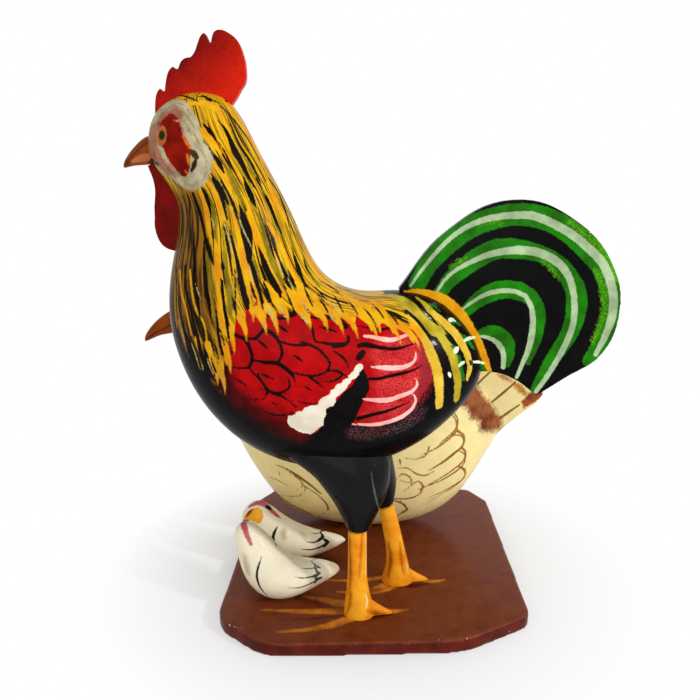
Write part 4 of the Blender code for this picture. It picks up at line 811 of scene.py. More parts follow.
# Lime on the tail's green arcs: the two long strokes down the right part of the outer arcs are a
# painted reflection, the small dabs are lime paint
TAIL_LIME_AND_SHEEN = (
    (FAN,
     ((30, 60, 40), 1130, 205, 1220, 270, 1310, 360, 1380, 470, 1420, 570),
     ((30, 50, 36), 1290, 500, 1330, 600, 1345, 720, 1320, 840, 1275, 950),
     ((16, 34, 20), 560, 215, 620, 200, 700, 210), ((20, 36, 20), 380, 480, 430, 450, 480, 430),
     ((20, 36, 20), 960, 450, 1020, 500, 1060, 560)),
)
HEN_TAIL_LINES = (
    (HEN_TAIL,
     ((30, 34, 24), 530, 490, 620, 400, 725, 305), ((28, 38, 26), 735, 745, 900, 610, 1070, 465),
     ((44, 36, 26), 845, 980, 980, 885, 1130, 780)),
)
# A painted shadow down the hen's left edge under the rooster's belly, and brown patches on her
# tail near its top edge
HEN_SHADOW_AND_BROWN_PATCHES = (
    (PHOTO,
     ((3, 8, 4), 247, 455, 262, 478, 285, 500, 312, 515)),
    (HEN_TAIL,
     ((40, 70, 30), 830, 350, 930, 400, 1010, 440),
     ((60, 110, 40), 1060, 480, 1150, 560, 1230, 640)),
)
HEN_FEATHER_LINES = (
    (HEN_TAIL,
     ((20, 40, 40), 180, 930, 232, 1010, 240, 1130, 190, 1210),
     ((38, 28, 20), 190, 1210, 100, 1290, -40, 1390, -260, 1500),
     ((40, 46, 40), 250, 1150, 330, 1210, 345, 1300, 310, 1390),
     ((38, 28, 20), 310, 1390, 200, 1480, 60, 1590, -160, 1720)),
    (PHOTO,
     ((2.6, 3.0, 2.6), 461, 447, 465.5, 452, 464, 460, 458, 466),
     ((2.6, 2.0, 1.4), 458, 466, 447, 474, 432, 483, 418, 490),
     ((2.6, 3.0, 2.6), 458, 466, 465, 470, 464, 478, 456, 484),
     ((2.6, 2.0, 1.2), 456, 484, 444, 491, 430, 497),
     ((1.4, 2.2, 1.4), 396, 480, 402, 474, 410, 477, 411, 485, 404, 491),
     ((1.4, 2.2, 1.4), 412, 485, 418, 481, 423, 486, 420, 493, 412, 498),
     ((1.6, 2.6, 1.2), 388, 499, 399, 502, 406, 507, 398, 515)),
)


def select_only(obj):
    """Make one object the only selected and the active one."""
    bpy.ops.object.select_all(action="DESELECT")
    obj.select_set(True)
    bpy.context.view_layer.objects.active = obj


def add_modifier(obj, kind, **settings):
    """Add a modifier, set it and apply it at once."""
    select_only(obj)
    bpy.ops.object.modifier_add(type=kind)
    modifier = obj.modifiers[-1]
    for key, value in settings.items():
        setattr(modifier, key, value)
    bpy.ops.object.modifier_apply(modifier=modifier.name)


def read_points(obj):
    """The mesh's vertices in millimetres."""
    flat = np.empty(len(obj.data.vertices) * 3)
    obj.data.vertices.foreach_get("co", flat)
    return flat.reshape(-1, 3) / MM


def write_points(obj, points):
    obj.data.vertices.foreach_set("co", (points * MM).ravel())
    obj.data.update()


def store(obj, name, values):
    """Keep one number per vertex under a name that a material can read."""
    layer = obj.data.attributes.new(name, "FLOAT", "POINT")
    layer.data.foreach_set("value", np.ascontiguousarray(values, dtype=np.float32))


def recall(obj, name):
    values = np.empty(len(obj.data.vertices), dtype=np.float32)
    obj.data.attributes[name].data.foreach_get("value", values)
    return values


def rings_of(sections):
    """Centre, half height, lean and half width of every section between the closing points."""
    rings = []
    for under, back, half_width in sections[1:-1]:
        run, rise = back[0] - under[0], back[1] - under[1]
        centre = ((under[0] + back[0]) / 2.0, (under[1] + back[1]) / 2.0)
        rings.append((centre, math.hypot(run, rise) / 2.0, math.atan2(-rise, run), half_width))
    return rings


def carve(name, sections, plane_y, sides, level):
    """Carve a closed form through ellipses that stand on the middle plane."""
    rings = rings_of(sections)
    # Subdivision draws a ring in, so each ring is made this much larger
    swell = 3.0 / (2.0 + math.cos(2.0 * math.pi / sides))
    bpy.ops.object.select_all(action="DESELECT")
    bpy.ops.object.add(type="MESH", location=(0.0, 0.0, 0.0))
    obj = bpy.context.object
    obj.name = name
    obj.data.name = name
    bpy.ops.object.mode_set(mode="EDIT")
    bpy.ops.mesh.select_mode(type="VERT")
    for number, (centre, half_height, lean, half_width) in enumerate(rings):
        bpy.ops.mesh.select_all(action="DESELECT")
        middle = (centre[0] * MM, plane_y * MM, (BOARD_TOP + centre[1]) * MM)
        bpy.ops.mesh.primitive_circle_add(
            vertices=sides, radius=half_height * swell * MM, fill_type="NOTHING",
            location=middle, rotation=(0.0, lean, 0.0))
        bpy.ops.transform.resize(
            value=(1.0, half_width / half_height, 1.0), center_override=middle)
        if number:
            pick_from(obj, (number - 1) * sides, (number + 1) * sides)
            bpy.ops.mesh.bridge_edge_loops()
    count = len(rings)
    for ring, tip in ((0, sections[0]), (count - 1, sections[-1])):
        pick_from(obj, ring * sides, (ring + 1) * sides)
        bpy.ops.mesh.edge_face_add()
        bpy.ops.mesh.poke()
        builder = bmesh.from_edit_mesh(obj.data)
        builder.verts.ensure_lookup_table()
        builder.verts[-1].co = (tip[0] * MM, plane_y * MM, (BOARD_TOP + tip[1]) * MM)
        bmesh.update_edit_mesh(obj.data)
    bpy.ops.mesh.select_all(action="SELECT")
    bpy.ops.mesh.normals_make_consistent(inside=False)
    bpy.ops.object.mode_set(mode="OBJECT")
    store(obj, "along", ring_lengths(rings, sides))
    store(obj, "girth", ring_turns(obj, rings, sides, plane_y))
    add_modifier(obj, "SUBSURF", levels=level, render_levels=level)
    bpy.ops.object.shade_smooth()
    return obj


def pick_from(obj, first, last):
    """Select the vertices of a range, and the edges between them."""
    builder = bmesh.from_edit_mesh(obj.data)
    builder.verts.ensure_lookup_table()
    for vert in builder.verts:
        vert.select = first <= vert.index < last
    builder.select_flush_mode()
    for edge in builder.edges:
        edge.select = all(vert.select for vert in edge.verts)
    bmesh.update_edit_mesh(obj.data)


def ring_lengths(rings, sides):
    """Distance along the middle line, for each cage vertex and the two tips."""
    length = 0.0
    values = []
    before = rings[0][0]
    for centre, _half_height, _lean, _half_width in rings:
        length += math.dist(centre, before)
        before = centre
        values.extend([length] * sides)
    values.extend([0.0, length])
    return values


def ring_turns(obj, rings, sides, plane_y):
    """Angle of each cage vertex round its ring, from the back at 0 to the underside at pi."""
    points = read_points(obj)
    values = []
    for number, (centre, half_height, lean, half_width) in enumerate(rings):
        for x, y, z in points[number * sides:(number + 1) * sides]:
            up = (x - centre[0]) * math.cos(lean) - (z - BOARD_TOP - centre[1]) * math.sin(lean)
            values.append(math.atan2(abs(y - plane_y) / half_width, up / half_height))
    values.extend([math.pi / 2.0, math.pi / 2.0])
    return values


def flatten_base(obj, level=0.05):
    """Sand a carving flat where it sits on the board."""
    points = read_points(obj)
    points[:, 2] = np.maximum(points[:, 2], BOARD_TOP + level)
    write_points(obj, points)


def saw(name, outline, thickness, plane_y, voxel, rubs, lying=False):
    """Saw a flat piece, standing in a bird's plane or lying on the ground, and sand its edges."""
    bpy.ops.object.select_all(action="DESELECT")
    bpy.ops.curve.primitive_bezier_curve_add(location=(0.0, 0.0, 0.0))
    obj = bpy.context.object
    obj.name = name
    curve = obj.data
    curve.splines.clear()
    curve.dimensions = "2D"
    curve.fill_mode = "BOTH"
    curve.extrude = thickness * MM / 2.0
    spline = curve.splines.new("BEZIER")
    spline.bezier_points.add(len(outline) - 1)
    spline.use_cyclic_u = True
    spline.resolution_u = 1 if lying else 8
    for point, (across, up, *corner) in zip(spline.bezier_points, outline):
        point.co = (across * MM, up * MM, 0.0)
        kind = "VECTOR" if corner else "AUTO"
        point.handle_left_type = kind
        point.handle_right_type = kind
    if lying:
        obj.location = (0.0, 0.0, thickness * MM / 2.0)
    else:
        obj.location = (0.0, plane_y * MM, BOARD_TOP * MM)
        obj.rotation_euler = (math.pi / 2.0, 0.0, 0.0)
    bpy.ops.object.convert(target="MESH")
    obj = bpy.context.object
    bpy.ops.object.transform_apply(location=True, rotation=True, scale=True)
    bpy.ops.object.mode_set(mode="EDIT")
    bpy.ops.mesh.select_all(action="SELECT")
    bpy.ops.mesh.remove_doubles(threshold=0.02 * MM)
    bpy.ops.mesh.normals_make_consistent(inside=False)
    bpy.ops.object.mode_set(mode="OBJECT")
    add_modifier(obj, "REMESH", mode="VOXEL", voxel_size=voxel * MM)
    add_modifier(obj, "SMOOTH", factor=0.5, iterations=rubs)
    bpy.ops.object.shade_smooth()
    return obj


def photo_pixels(points):
    """Where the photograph's camera sees points, in photograph pixels."""
    away = points - np.array(CAMERA_PLACE)
    level, steep = math.cos(CAMERA_TILT), math.sin(CAMERA_TILT)
    depth = away[:, 1] * level - away[:, 2] * steep
    rise = away[:, 1] * steep + away[:, 2] * level
    half = PHOTO_SIDE / 2.0
    return np.stack(
        (half + away[:, 0] / depth * PHOTO_SCALE, half - rise / depth * PHOTO_SCALE), axis=1)


def sight(pixel):
    """The direction in which the camera looks through a photograph pixel."""
    right = (pixel[0] - PHOTO_SIDE / 2.0) / PHOTO_SCALE
    lift = (PHOTO_SIDE / 2.0 - pixel[1]) / PHOTO_SCALE
    level, steep = math.cos(CAMERA_TILT), math.sin(CAMERA_TILT)
    return Vector((right, level + lift * steep, -steep + lift * level)).normalized()


def smooth_line(corners, spacing):
    """Points along a smooth line through the corners, and how far along each one is."""
    corners = [np.array(corner, dtype=float) for corner in corners]
    padded = [2.0 * corners[0] - corners[1]] + corners + [2.0 * corners[-1] - corners[-2]]
    line = []
    for before, first, second, after in zip(padded, padded[1:], padded[2:], padded[3:]):
        steps = max(2, int(np.linalg.norm(second - first) / spacing))
        for step in range(steps):
            t = step / steps
            line.append(0.5 * (
                2.0 * first + (second - before) * t
                + (2.0 * before - 5.0 * first + 4.0 * second - after) * t * t
                + (3.0 * first - before - 3.0 * second + after) * t ** 3))
    line.append(corners[-1])
    line = np.array(line)
    gone = np.concatenate(([0.0], np.cumsum(np.linalg.norm(np.diff(line, axis=0), axis=1))))
    return line, gone / gone[-1]


class Canvas:
    """A piece ready for paint: both its sides folded onto the one the camera sees.

    REACH is how far outside a stroke its depth is still told, in millimetres. SPACING is the
    distance between the points of a stroke's line, in photograph pixels.
    """

    REACH = 3.0
    SPACING = 3.0

    def __init__(self, obj, plane_y, half_thickness=None, folded=True):
        self.obj = obj
        self.plane_y = plane_y
        self.half_thickness = half_thickness
        points = read_points(obj)
        if folded:
            points[:, 1] = plane_y - np.abs(points[:, 1] - plane_y)
        self.points = points
        self.pixels = photo_pixels(points)
        self.tree = None
        if half_thickness is None:
            corners = [Vector(point) for point in read_points(obj)]
            faces = [tuple(face.vertices) for face in obj.data.polygons]
            self.tree = BVHTree.FromPolygons(corners, faces)

    def touch(self, pixel):
        """Where the brush meets the piece behind a photograph pixel."""
        start = Vector(CAMERA_PLACE)
        ahead = sight(pixel)
        if self.tree is not None:
            place, _normal, _face, _distance = self.tree.ray_cast(start, ahead)
            if place is not None:
                return np.array(place)
            aim_y = self.plane_y
        else:
            aim_y = self.plane_y - self.half_thickness
        return np.array(start + ahead * ((aim_y - start.y) / ahead.y))

    def strokes(self, name, strokes, press=1.0):
        """Store how deep every vertex lies inside the nearest stroke, in millimetres."""
        depth = np.full(len(self.points), -self.REACH)
        rows = [(group[0], row) for group in strokes for row in group[1:]]
        for (left, top, scale), (widths, *numbers) in rows:
            line, gone = smooth_line(np.reshape(numbers, (-1, 2)), self.SPACING * scale)
            spread = np.interp(gone, (0.0, 0.5, 1.0), widths) * press / scale / 2.0
            places = [self.touch((left + x / scale, top + y / scale)) for x, y in line]
            sizes = [
                half * (place[1] - CAMERA_PLACE[1]) / PHOTO_SCALE
                for half, place in zip(spread, places)]
            for first, second, near, far in zip(places, places[1:], sizes, sizes[1:]):
                self.dab(depth, first, second, near, far)
        store(self.obj, name, depth)

    def dab(self, depth, first, second, near, far):
        """Deepen the vertices round one short piece of a stroke, near and far wide at its ends."""
        reach = self.REACH + max(near, far)
        low = np.minimum(first, second) - reach
        high = np.maximum(first, second) + reach
        close = np.nonzero(np.all((self.points > low) & (self.points < high), axis=1))[0]
        if len(close) == 0:
            return
        span = second - first
        length = float(span @ span)
        away = self.points[close] - first
        share = np.clip(away @ span / max(length, 1e-9), 0.0, 1.0)
        distance = np.linalg.norm(away - share[:, None] * span, axis=1)
        depth[close] = np.maximum(depth[close], near + share * (far - near) - distance)

    def area(self, name, area, fringe=0.0):
        """Store how deep every vertex lies inside a closed border, in millimetres."""
        window, corners = area
        left, top, scale = window
        border = np.reshape(corners, (-1, 2)) / scale + (left, top)
        x, y = self.pixels[:, 0], self.pixels[:, 1]
        inside = np.zeros(len(x), dtype=bool)
        nearest = np.full(len(x), 1e9)
        for (x0, y0), (x1, y1) in zip(border, np.roll(border, -1, axis=0)):
            crosses = (y0 > y) != (y1 > y)
            with np.errstate(divide="ignore", invalid="ignore"):
                meets = x0 + (y - y0) * (x1 - x0) / (y1 - y0 if y1 != y0 else 1.0)
            inside ^= crosses & (x < meets)
            run, rise = x1 - x0, y1 - y0
            share = np.clip(((x - x0) * run + (y - y0) * rise) / (run * run + rise * rise), 0, 1)
            nearest = np.minimum(nearest, np.hypot(x - x0 - share * run, y - y0 - share * rise))
        size = (self.plane_y - CAMERA_PLACE[1]) / PHOTO_SCALE
        depth = np.where(inside, nearest, -nearest) * size + fringe
        depth = np.clip(depth, -self.REACH, self.REACH)
        store(self.obj, name, depth)


def hackle_fringe():
    """Tapered hairs at the points of the hackle's jagged border, and the dark gaps between.

    All is in the units of the border's window. A hair runs from its root, above the point, to
    its tip below it. It slants more towards the tail, and its reach varies from point to point.
    """
    window, border = HACKLE_AREA
    corners = np.reshape(border, (-1, 2))
    lowest_point, lowest_notch = 280, 150
    hair_widths, gap_widths = (66, 36, 2), (3, 15, 10)
    hairs, gaps = [window], [window]
    for before, (x, y), after in zip(corners, corners[1:], corners[2:]):
        slant = 0.15 + x / 2000.0
        reach = 36 + x % 5 * 9
        if before[1] < y > after[1] and y > lowest_point and x > 0:
            root, middle = 130, 40
            hairs.append((hair_widths, x - slant * root, y - root, x, y - middle,
                          x + slant * reach, y + reach))
        elif before[1] > y < after[1] and y > lowest_notch and x > 0:
            root, middle = 120, 40
            gaps.append((gap_widths, x - slant * root, y - root / 2 - reach,
                         x - slant * middle, y - 36, x + 4, y + 14))
    return (hairs,), (gaps,)


def breast_points(turn):
    """Even points of the hackle's border round the breast, where no border was read."""
    front, points, depth = 2.2, 11.0, 3.0
    zigzag = 2.0 * depth * np.abs(turn * points % 2.0 - 1.0) - depth
    return np.where(turn > front, zigzag, 0.0)


def feather_scales(obj):
    """Rows of round feather edges over the hen's neck and back, as depth inside a thin line."""
    points = read_points(obj)
    along = recall(obj, "along").astype(float)
    turn = recall(obj, "girth").astype(float)
    pitch, count, bow, half_line = 11.0, 7, 3.2, 0.35
    row = np.floor(along / pitch)
    up = along / pitch - row
    across = turn / math.pi * count + 0.5 * (row % 2)
    across = across - np.floor(across) - 0.5
    edge = 1.0 - bow * across ** 2
    line = half_line - np.abs(up - edge) * pitch * 0.5
    face_end, rump_start, side = 26.0, 120.0, 1.9
    neck = (along > face_end) & (along < rump_start) & (turn < side)
    # The photograph shows the hen plain below and behind this
    plain_below, plain_behind = 62.0, 20.0
    plain = (points[:, 2] < plain_below) | (points[:, 0] > plain_behind)
    return np.where(neck & ~plain, line, -Canvas.REACH)


def comb_painted_light(points, is_comb):
    """Painted light: where a comb's red is painted brighter and more orange, low and to the rear,
    as a depth. A wattle stays dark.
    """
    low, high = points.min(axis=0), points.max(axis=0)
    across = (points[:, 0] - low[0]) / (high[0] - low[0])
    up = (points[:, 2] - low[2]) / (high[2] - low[2])
    return (across * 1.1 - up * 1.2) * 2.0 if is_comb else across - Canvas.REACH


def finish_piece(obj, node, paint):
    """Give a piece its paint, and let it stand for its CAD node."""
    obj.data.materials.clear()
    obj.data.materials.append(paint)
    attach(obj, "root")
    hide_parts(node)


def background_share(tree):
    """1 for what the camera sees, directly, in gloss or through glass, and 0 for light."""
    path = tree.nodes.new("ShaderNodeLightPath")
    share = path.outputs["Is Camera Ray"]
    for ray in ("Is Glossy Ray", "Is Transmission Ray"):
        either = tree.nodes.new("ShaderNodeMath")
        either.operation = "MAXIMUM"
        tree.links.new(share, either.inputs[0])
        tree.links.new(path.outputs[ray], either.inputs[1])
        share = either.outputs[0]
    return share


class Shader:
    """A material built node by node, with values set on the sockets themselves."""

    def __init__(self, name):
        self.material = bpy.data.materials.new(name)
        self.material.use_nodes = True
        self.tree = self.material.node_tree
        self.surface = self.tree.nodes["Principled BSDF"]

    def node(self, kind, **settings):
        made = self.tree.nodes.new(kind)
        for key, value in settings.items():
            setattr(made, key, value)
        return made

    def feed(self, socket, value):
        if isinstance(value, bpy.types.NodeSocket):
            self.tree.links.new(value, socket)
        else:
            socket.default_value = value

    def math(self, kind, first, second=0.0):
        made = self.node("ShaderNodeMath", operation=kind)
        self.feed(made.inputs[0], first)
        self.feed(made.inputs[1], second)
        return made.outputs[0]

    def attribute(self, name):
        return self.node("ShaderNodeAttribute", attribute_name=name).outputs["Fac"]

    def noise(self, scale, detail=3.0, vector=None):
        made = self.node("ShaderNodeTexNoise")
        made.inputs["Scale"].default_value = scale
        made.inputs["Detail"].default_value = detail
        if vector is None:
            vector = self.node("ShaderNodeTexCoord").outputs["Object"]
        self.feed(made.inputs["Vector"], vector)
        return made.outputs["Fac"]

    def spread(self, value, low, high, out_low=0.0, out_high=1.0):
        made = self.node("ShaderNodeMapRange", clamp=True)
        self.feed(made.inputs["Value"], value)
        made.inputs["From Min"].default_value = low
        made.inputs["From Max"].default_value = high
        made.inputs["To Min"].default_value = out_low
        made.inputs["To Max"].default_value = out_high
        return made.outputs["Result"]

    def mix(self, share, first, second):
        made = self.node("ShaderNodeMix", data_type="RGBA")
        self.feed(made.inputs[0], share)
        self.feed(made.inputs[6], first)
        self.feed(made.inputs[7], second)
        return made.outputs[2]


def paint_coat(name, ground, layers=(), gloss=0.25, bump=0.3, brush=1.0, shine=0.04):
    """Enamel brushed over wood: a ground colour, then one layer per stroke attribute.

    A layer is (attribute, first shade, second shade, edge, wobble) and for a dry brush a sixth
    value, the noise under which the bristles leave no paint. Edge is how far the paint fades at
    its border and wobble how unsteady the border is, both in millimetres. A layer's shade is a
    colour as the eye reads it, or the name of an enamel. In place of the first shade a layer may
    name a function that mixes its colour.
    """
    shader = Shader(name)
    fine = shader.noise(FINE_GRAIN, 4.0)
    broad = shader.noise(BROAD_GRAIN, 3.0)
    drift = shader.spread(broad, *SHADE_DRIFT)
    colour = shader.mix(drift, ground[0], ground[1])
    shaky = shader.math("SUBTRACT", fine, 0.5)
    height = shader.math("MULTIPLY", fine, 0.5 * brush)
    for attribute, first, second, edge, wobble, *dry in layers:
        depth = shader.attribute(attribute)
        shake = shader.math("MULTIPLY", shaky, wobble * 2.0)
        share = shader.spread(shader.math("ADD", depth, shake), -edge, edge)
        if dry:
            bristles = shader.noise(BRISTLE_GRAIN, 2.0)
            share = shader.math("MULTIPLY", share, shader.spread(
                bristles, dry[0] - BRISTLE_EDGE[0], dry[0] + BRISTLE_EDGE[1]))
        coat = (first(shader) if callable(first)
                else shader.mix(drift, enamel(first), enamel(second)))
        colour = shader.mix(share, colour, coat)
        height = shader.math("ADD", height, shader.math("MULTIPLY", share, LAYER_HEIGHT))
    shader.feed(shader.surface.inputs["Base Color"], colour)
    rough = shader.spread(broad, *GLOSS_DRIFT, gloss - GLOSS_SPAN[0], gloss + GLOSS_SPAN[1])
    shader.feed(shader.surface.inputs["Roughness"], rough)
    for socket, value in (
            ("IOR", PAINT_IOR), ("Specular IOR Level", shine * SPECULAR_PER_SHINE),
            ("Coat Weight", shine), ("Coat IOR", VARNISH_IOR),
            ("Coat Roughness", VARNISH_ROUGHNESS)):
        shader.surface.inputs[socket].default_value = value
    relief = shader.node("ShaderNodeBump")
    relief.inputs["Strength"].default_value = bump
    relief.inputs["Distance"].default_value = RELIEF_DEPTH
    shader.feed(relief.inputs["Height"], height)
    shader.feed(shader.surface.inputs["Normal"], relief.outputs["Normal"])
    return shader.material


def brush_hairs(shader, fineness, length, seed, low, high):
    """Hairs drawn out along the carving: 0 where its noise is under low, and 1 above high."""
    place = shader.node("ShaderNodeCombineXYZ")
    shader.feed(place.inputs[0], shader.math("MULTIPLY", shader.attribute("girth"), fineness))
    shader.feed(place.inputs[1], shader.math("MULTIPLY", shader.attribute("along"), length))
    place.inputs[2].default_value = seed
    return shader.spread(shader.noise(1.0, 2.0, place.outputs[0]), low, high)


def neck_feathers(shader):
    """Yellow, orange and olive hairs side by side, browner and darker at the throat (partly brown
    paint, partly painted shade), with dark lines.
    """
    colour = linear(0.48, 0.4, 0.07)
    for fineness, length, seed, low, high, name in (
            (22.0, 0.05, 1.0, 0.4, 0.5, "yellow"), (15.0, 0.035, 5.0, 0.54, 0.6, "orange"),
            (26.0, 0.05, 9.0, 0.56, 0.62, "olive")):
        hairs = brush_hairs(shader, fineness, length, seed, low, high)
        colour = shader.mix(hairs, colour, shade(name))
    # The throat's colour: browner hairs, darkened as painted shade
    front = shader.mix(
        brush_hairs(shader, 15.0, 0.03, 21.0, 0.44, 0.54),
        linear(0.2, 0.14, 0.04), linear(0.6, 0.4, 0.1))
    throat_fade = 2.8
    throat = shader.spread(shader.attribute("throat"), -throat_fade, throat_fade)
    colour = shader.mix(throat, colour, front)
    lines = brush_hairs(shader, 20.0, 0.03, 13.0, 0.56, 0.6)
    return shader.mix(lines, colour, linear(0.1, 0.07, 0.02))


def linear(red, green, blue):
    """A colour written as the eye reads it, for a shader."""
    shades = [
        value / 12.92 if value <= 0.04045 else ((value + 0.055) / 1.055) ** 2.4
        for value in (red, green, blue)]
    return (*shades, 1.0)


class CarvingSizes(PropertyGroup):
    """Sizes that a user would change."""

    carving_level: IntProperty(
        name="Carving level", description="Subdivision of the large carvings",
        default=4, min=2, max=4)
    small_level: IntProperty(
        name="Small carving level", description="Subdivision of the chicks, beaks and thighs",
        default=4, min=2, max=4)
    plate_grain: FloatProperty(
        name="Plate grain", description="Voxel of the sawn plates, in millimetres",
        default=0.5, min=0.3, max=1.0)
    board_grain: FloatProperty(
        name="Board grain", description="Voxel of the board, in millimetres",
        default=0.8, min=0.6, max=1.5)
    lamp_power: FloatProperty(
        name="Lamp power", description="Power of the main lamp", default=4.4, unit="POWER")
    sky_level: FloatProperty(
        name="Sky level", description="Even light from all round", default=0.5)


def colour_property(name, description, default):
    return FloatVectorProperty(
        name=name, description=description, default=default, size=4, subtype="COLOR",
        min=0.0, max=1.0)


class PaintShades(PropertyGroup):
    """Enamel colours, each at full cover."""

    black: colour_property("Black", "Belly, tail ground and thighs", linear(0.05, 0.05, 0.055))
    wing_red: colour_property("Wing red", "Wing", linear(0.76, 0.03, 0.05))
    yellow: colour_property("Yellow", "Neck feathers", linear(0.92, 0.7, 0.08))
    orange: colour_property("Orange", "Neck feathers", linear(0.88, 0.57, 0.08))
    olive: colour_property("Olive", "Neck feathers", linear(0.6, 0.52, 0.12))
    green: colour_property("Green", "Tail feathers", linear(0.12, 0.52, 0.05))
    pale_green: colour_property("Pale green", "Tail quills", linear(0.72, 0.82, 0.64))
    cream: colour_property("Cream", "Hen", linear(1.0, 0.92, 0.65))
    chick_white: colour_property("Chick white", "Chicks", linear(0.99, 0.95, 0.83))
    board_brown: colour_property("Board brown", "Board", linear(0.46, 0.21, 0.09))
    beak_brown: colour_property("Beak brown", "Beaks", linear(0.58, 0.27, 0.08))
    wood: colour_property("Bare wood", "Pegs", linear(0.76, 0.63, 0.46))
    steel: colour_property("Steel", "Nails", linear(0.25, 0.25, 0.25))


def shade(name):
    return tuple(getattr(bpy.context.scene.rooster_paint, name))


def enamel(colour):
    """The shader's colour for the name of an enamel or for a colour as the eye reads it."""
    return shade(colour) if isinstance(colour, str) else linear(*colour)


def tinted(colour, factor):
    return tuple(min(1.0, channel * factor) for channel in colour[:3]) + (1.0,)


def plain_pair(name, spread=0.82):
    """A paint's own shade after a darker one."""
    colour = shade(name)
    return (tinted(colour, spread), colour)


class ROOSTER_OT_stage(Operator):
    """Set up the pale floor, the lamps, the sky and the camera"""

    bl_idname = "rooster.stage"
    bl_label = "Stage"

    def execute(self, context):
        sizes = context.scene.rooster_sizes
        bpy.ops.object.select_all(action="DESELECT")
        bpy.ops.object.camera_add(
            location=[value * MM for value in CAMERA_PLACE],
            rotation=(math.pi / 2.0 - CAMERA_TILT, 0.0, 0.0))
        camera = context.object
        camera.name = "camera"
        camera.data.lens = LENS
        camera.data.sensor_width = SENSOR
        camera.data.clip_start = 0.01
        context.scene.camera = camera
        bpy.ops.mesh.primitive_grid_add(
            x_subdivisions=FLOOR_CUTS, y_subdivisions=FLOOR_CUTS, size=FLOOR_SIDE,
            location=(0.0, 0.0, 0.0))
        floor = context.object
        floor.name = "floor"
        shader = Shader("pale_floor")
        shader.surface.inputs["Base Color"].default_value = FLOOR_WHITE
        shader.surface.inputs["Roughness"].default_value = 0.8
        place = shader.node("ShaderNodeTexCoord").outputs["Object"]
        reach = shader.node("ShaderNodeVectorMath", operation="LENGTH")
        shader.feed(reach.inputs[0], place)
        far = shader.spread(reach.outputs["Value"], *FLOOR_FADE)
        seen = background_share(shader.tree)
        glow = shader.node("ShaderNodeEmission")
        blend = shader.node("ShaderNodeMixShader")
        shader.feed(blend.inputs[0], shader.math("MULTIPLY", far, seen))
        shader.feed(blend.inputs[1], shader.surface.outputs[0])
        shader.feed(blend.inputs[2], glow.outputs[0])
        shader.feed(shader.tree.nodes["Material Output"].inputs["Surface"], blend.outputs[0])
        floor.data.materials.append(shader.material)
        for name, place, size, share in LAMPS:
            aim = Vector(place) - Vector(LAMP_AIM)
            bpy.ops.object.light_add(
                type="AREA", location=place, rotation=aim.to_track_quat("Z", "Y").to_euler())
            lamp = context.object
            lamp.name = name
            lamp.data.size = size
            lamp.data.energy = sizes.lamp_power * share * aim.length ** 2
        world = bpy.data.worlds.new("studio")
        context.scene.world = world
        world.use_nodes = True
        tree = world.node_tree
        sky = tree.nodes["Background"]
        white = tree.nodes.new("ShaderNodeBackground")
        for background, strength in ((sky, sizes.sky_level), (white, 1.0)):
            background.inputs["Color"].default_value = WHITE
            background.inputs["Strength"].default_value = strength
        blend = tree.nodes.new("ShaderNodeMixShader")
        tree.links.new(background_share(tree), blend.inputs[0])
        tree.links.new(sky.outputs[0], blend.inputs[1])
        tree.links.new(white.outputs[0], blend.inputs[2])
        tree.links.new(blend.outputs[0], tree.nodes["World Output"].inputs["Surface"])
        context.scene.view_settings.view_transform = "Standard"
        return {"FINISHED"}


def filleted(corners):
    """Replace each corner (x, y, radius) of a polygon by an arc."""
    outline = []
    count = len(corners)
    for index, (x, y, radius) in enumerate(corners):
        here = Vector((x, y))
        before = (Vector(corners[index - 1][:2]) - here).normalized()
        after = (Vector(corners[(index + 1) % count][:2]) - here).normalized()
        half = before.angle(after) / 2.0
        reach = radius / math.tan(half)
        centre = here + (before + after).normalized() * (radius / math.sin(half))
        start = here + before * reach - centre
        end = here + after * reach - centre
        for step in range(CORNER_STEPS + 1):
            arc = start.lerp(end, step / CORNER_STEPS).normalized() * radius
            outline.append((centre.x + arc.x, centre.y + arc.y, True))
    return outline


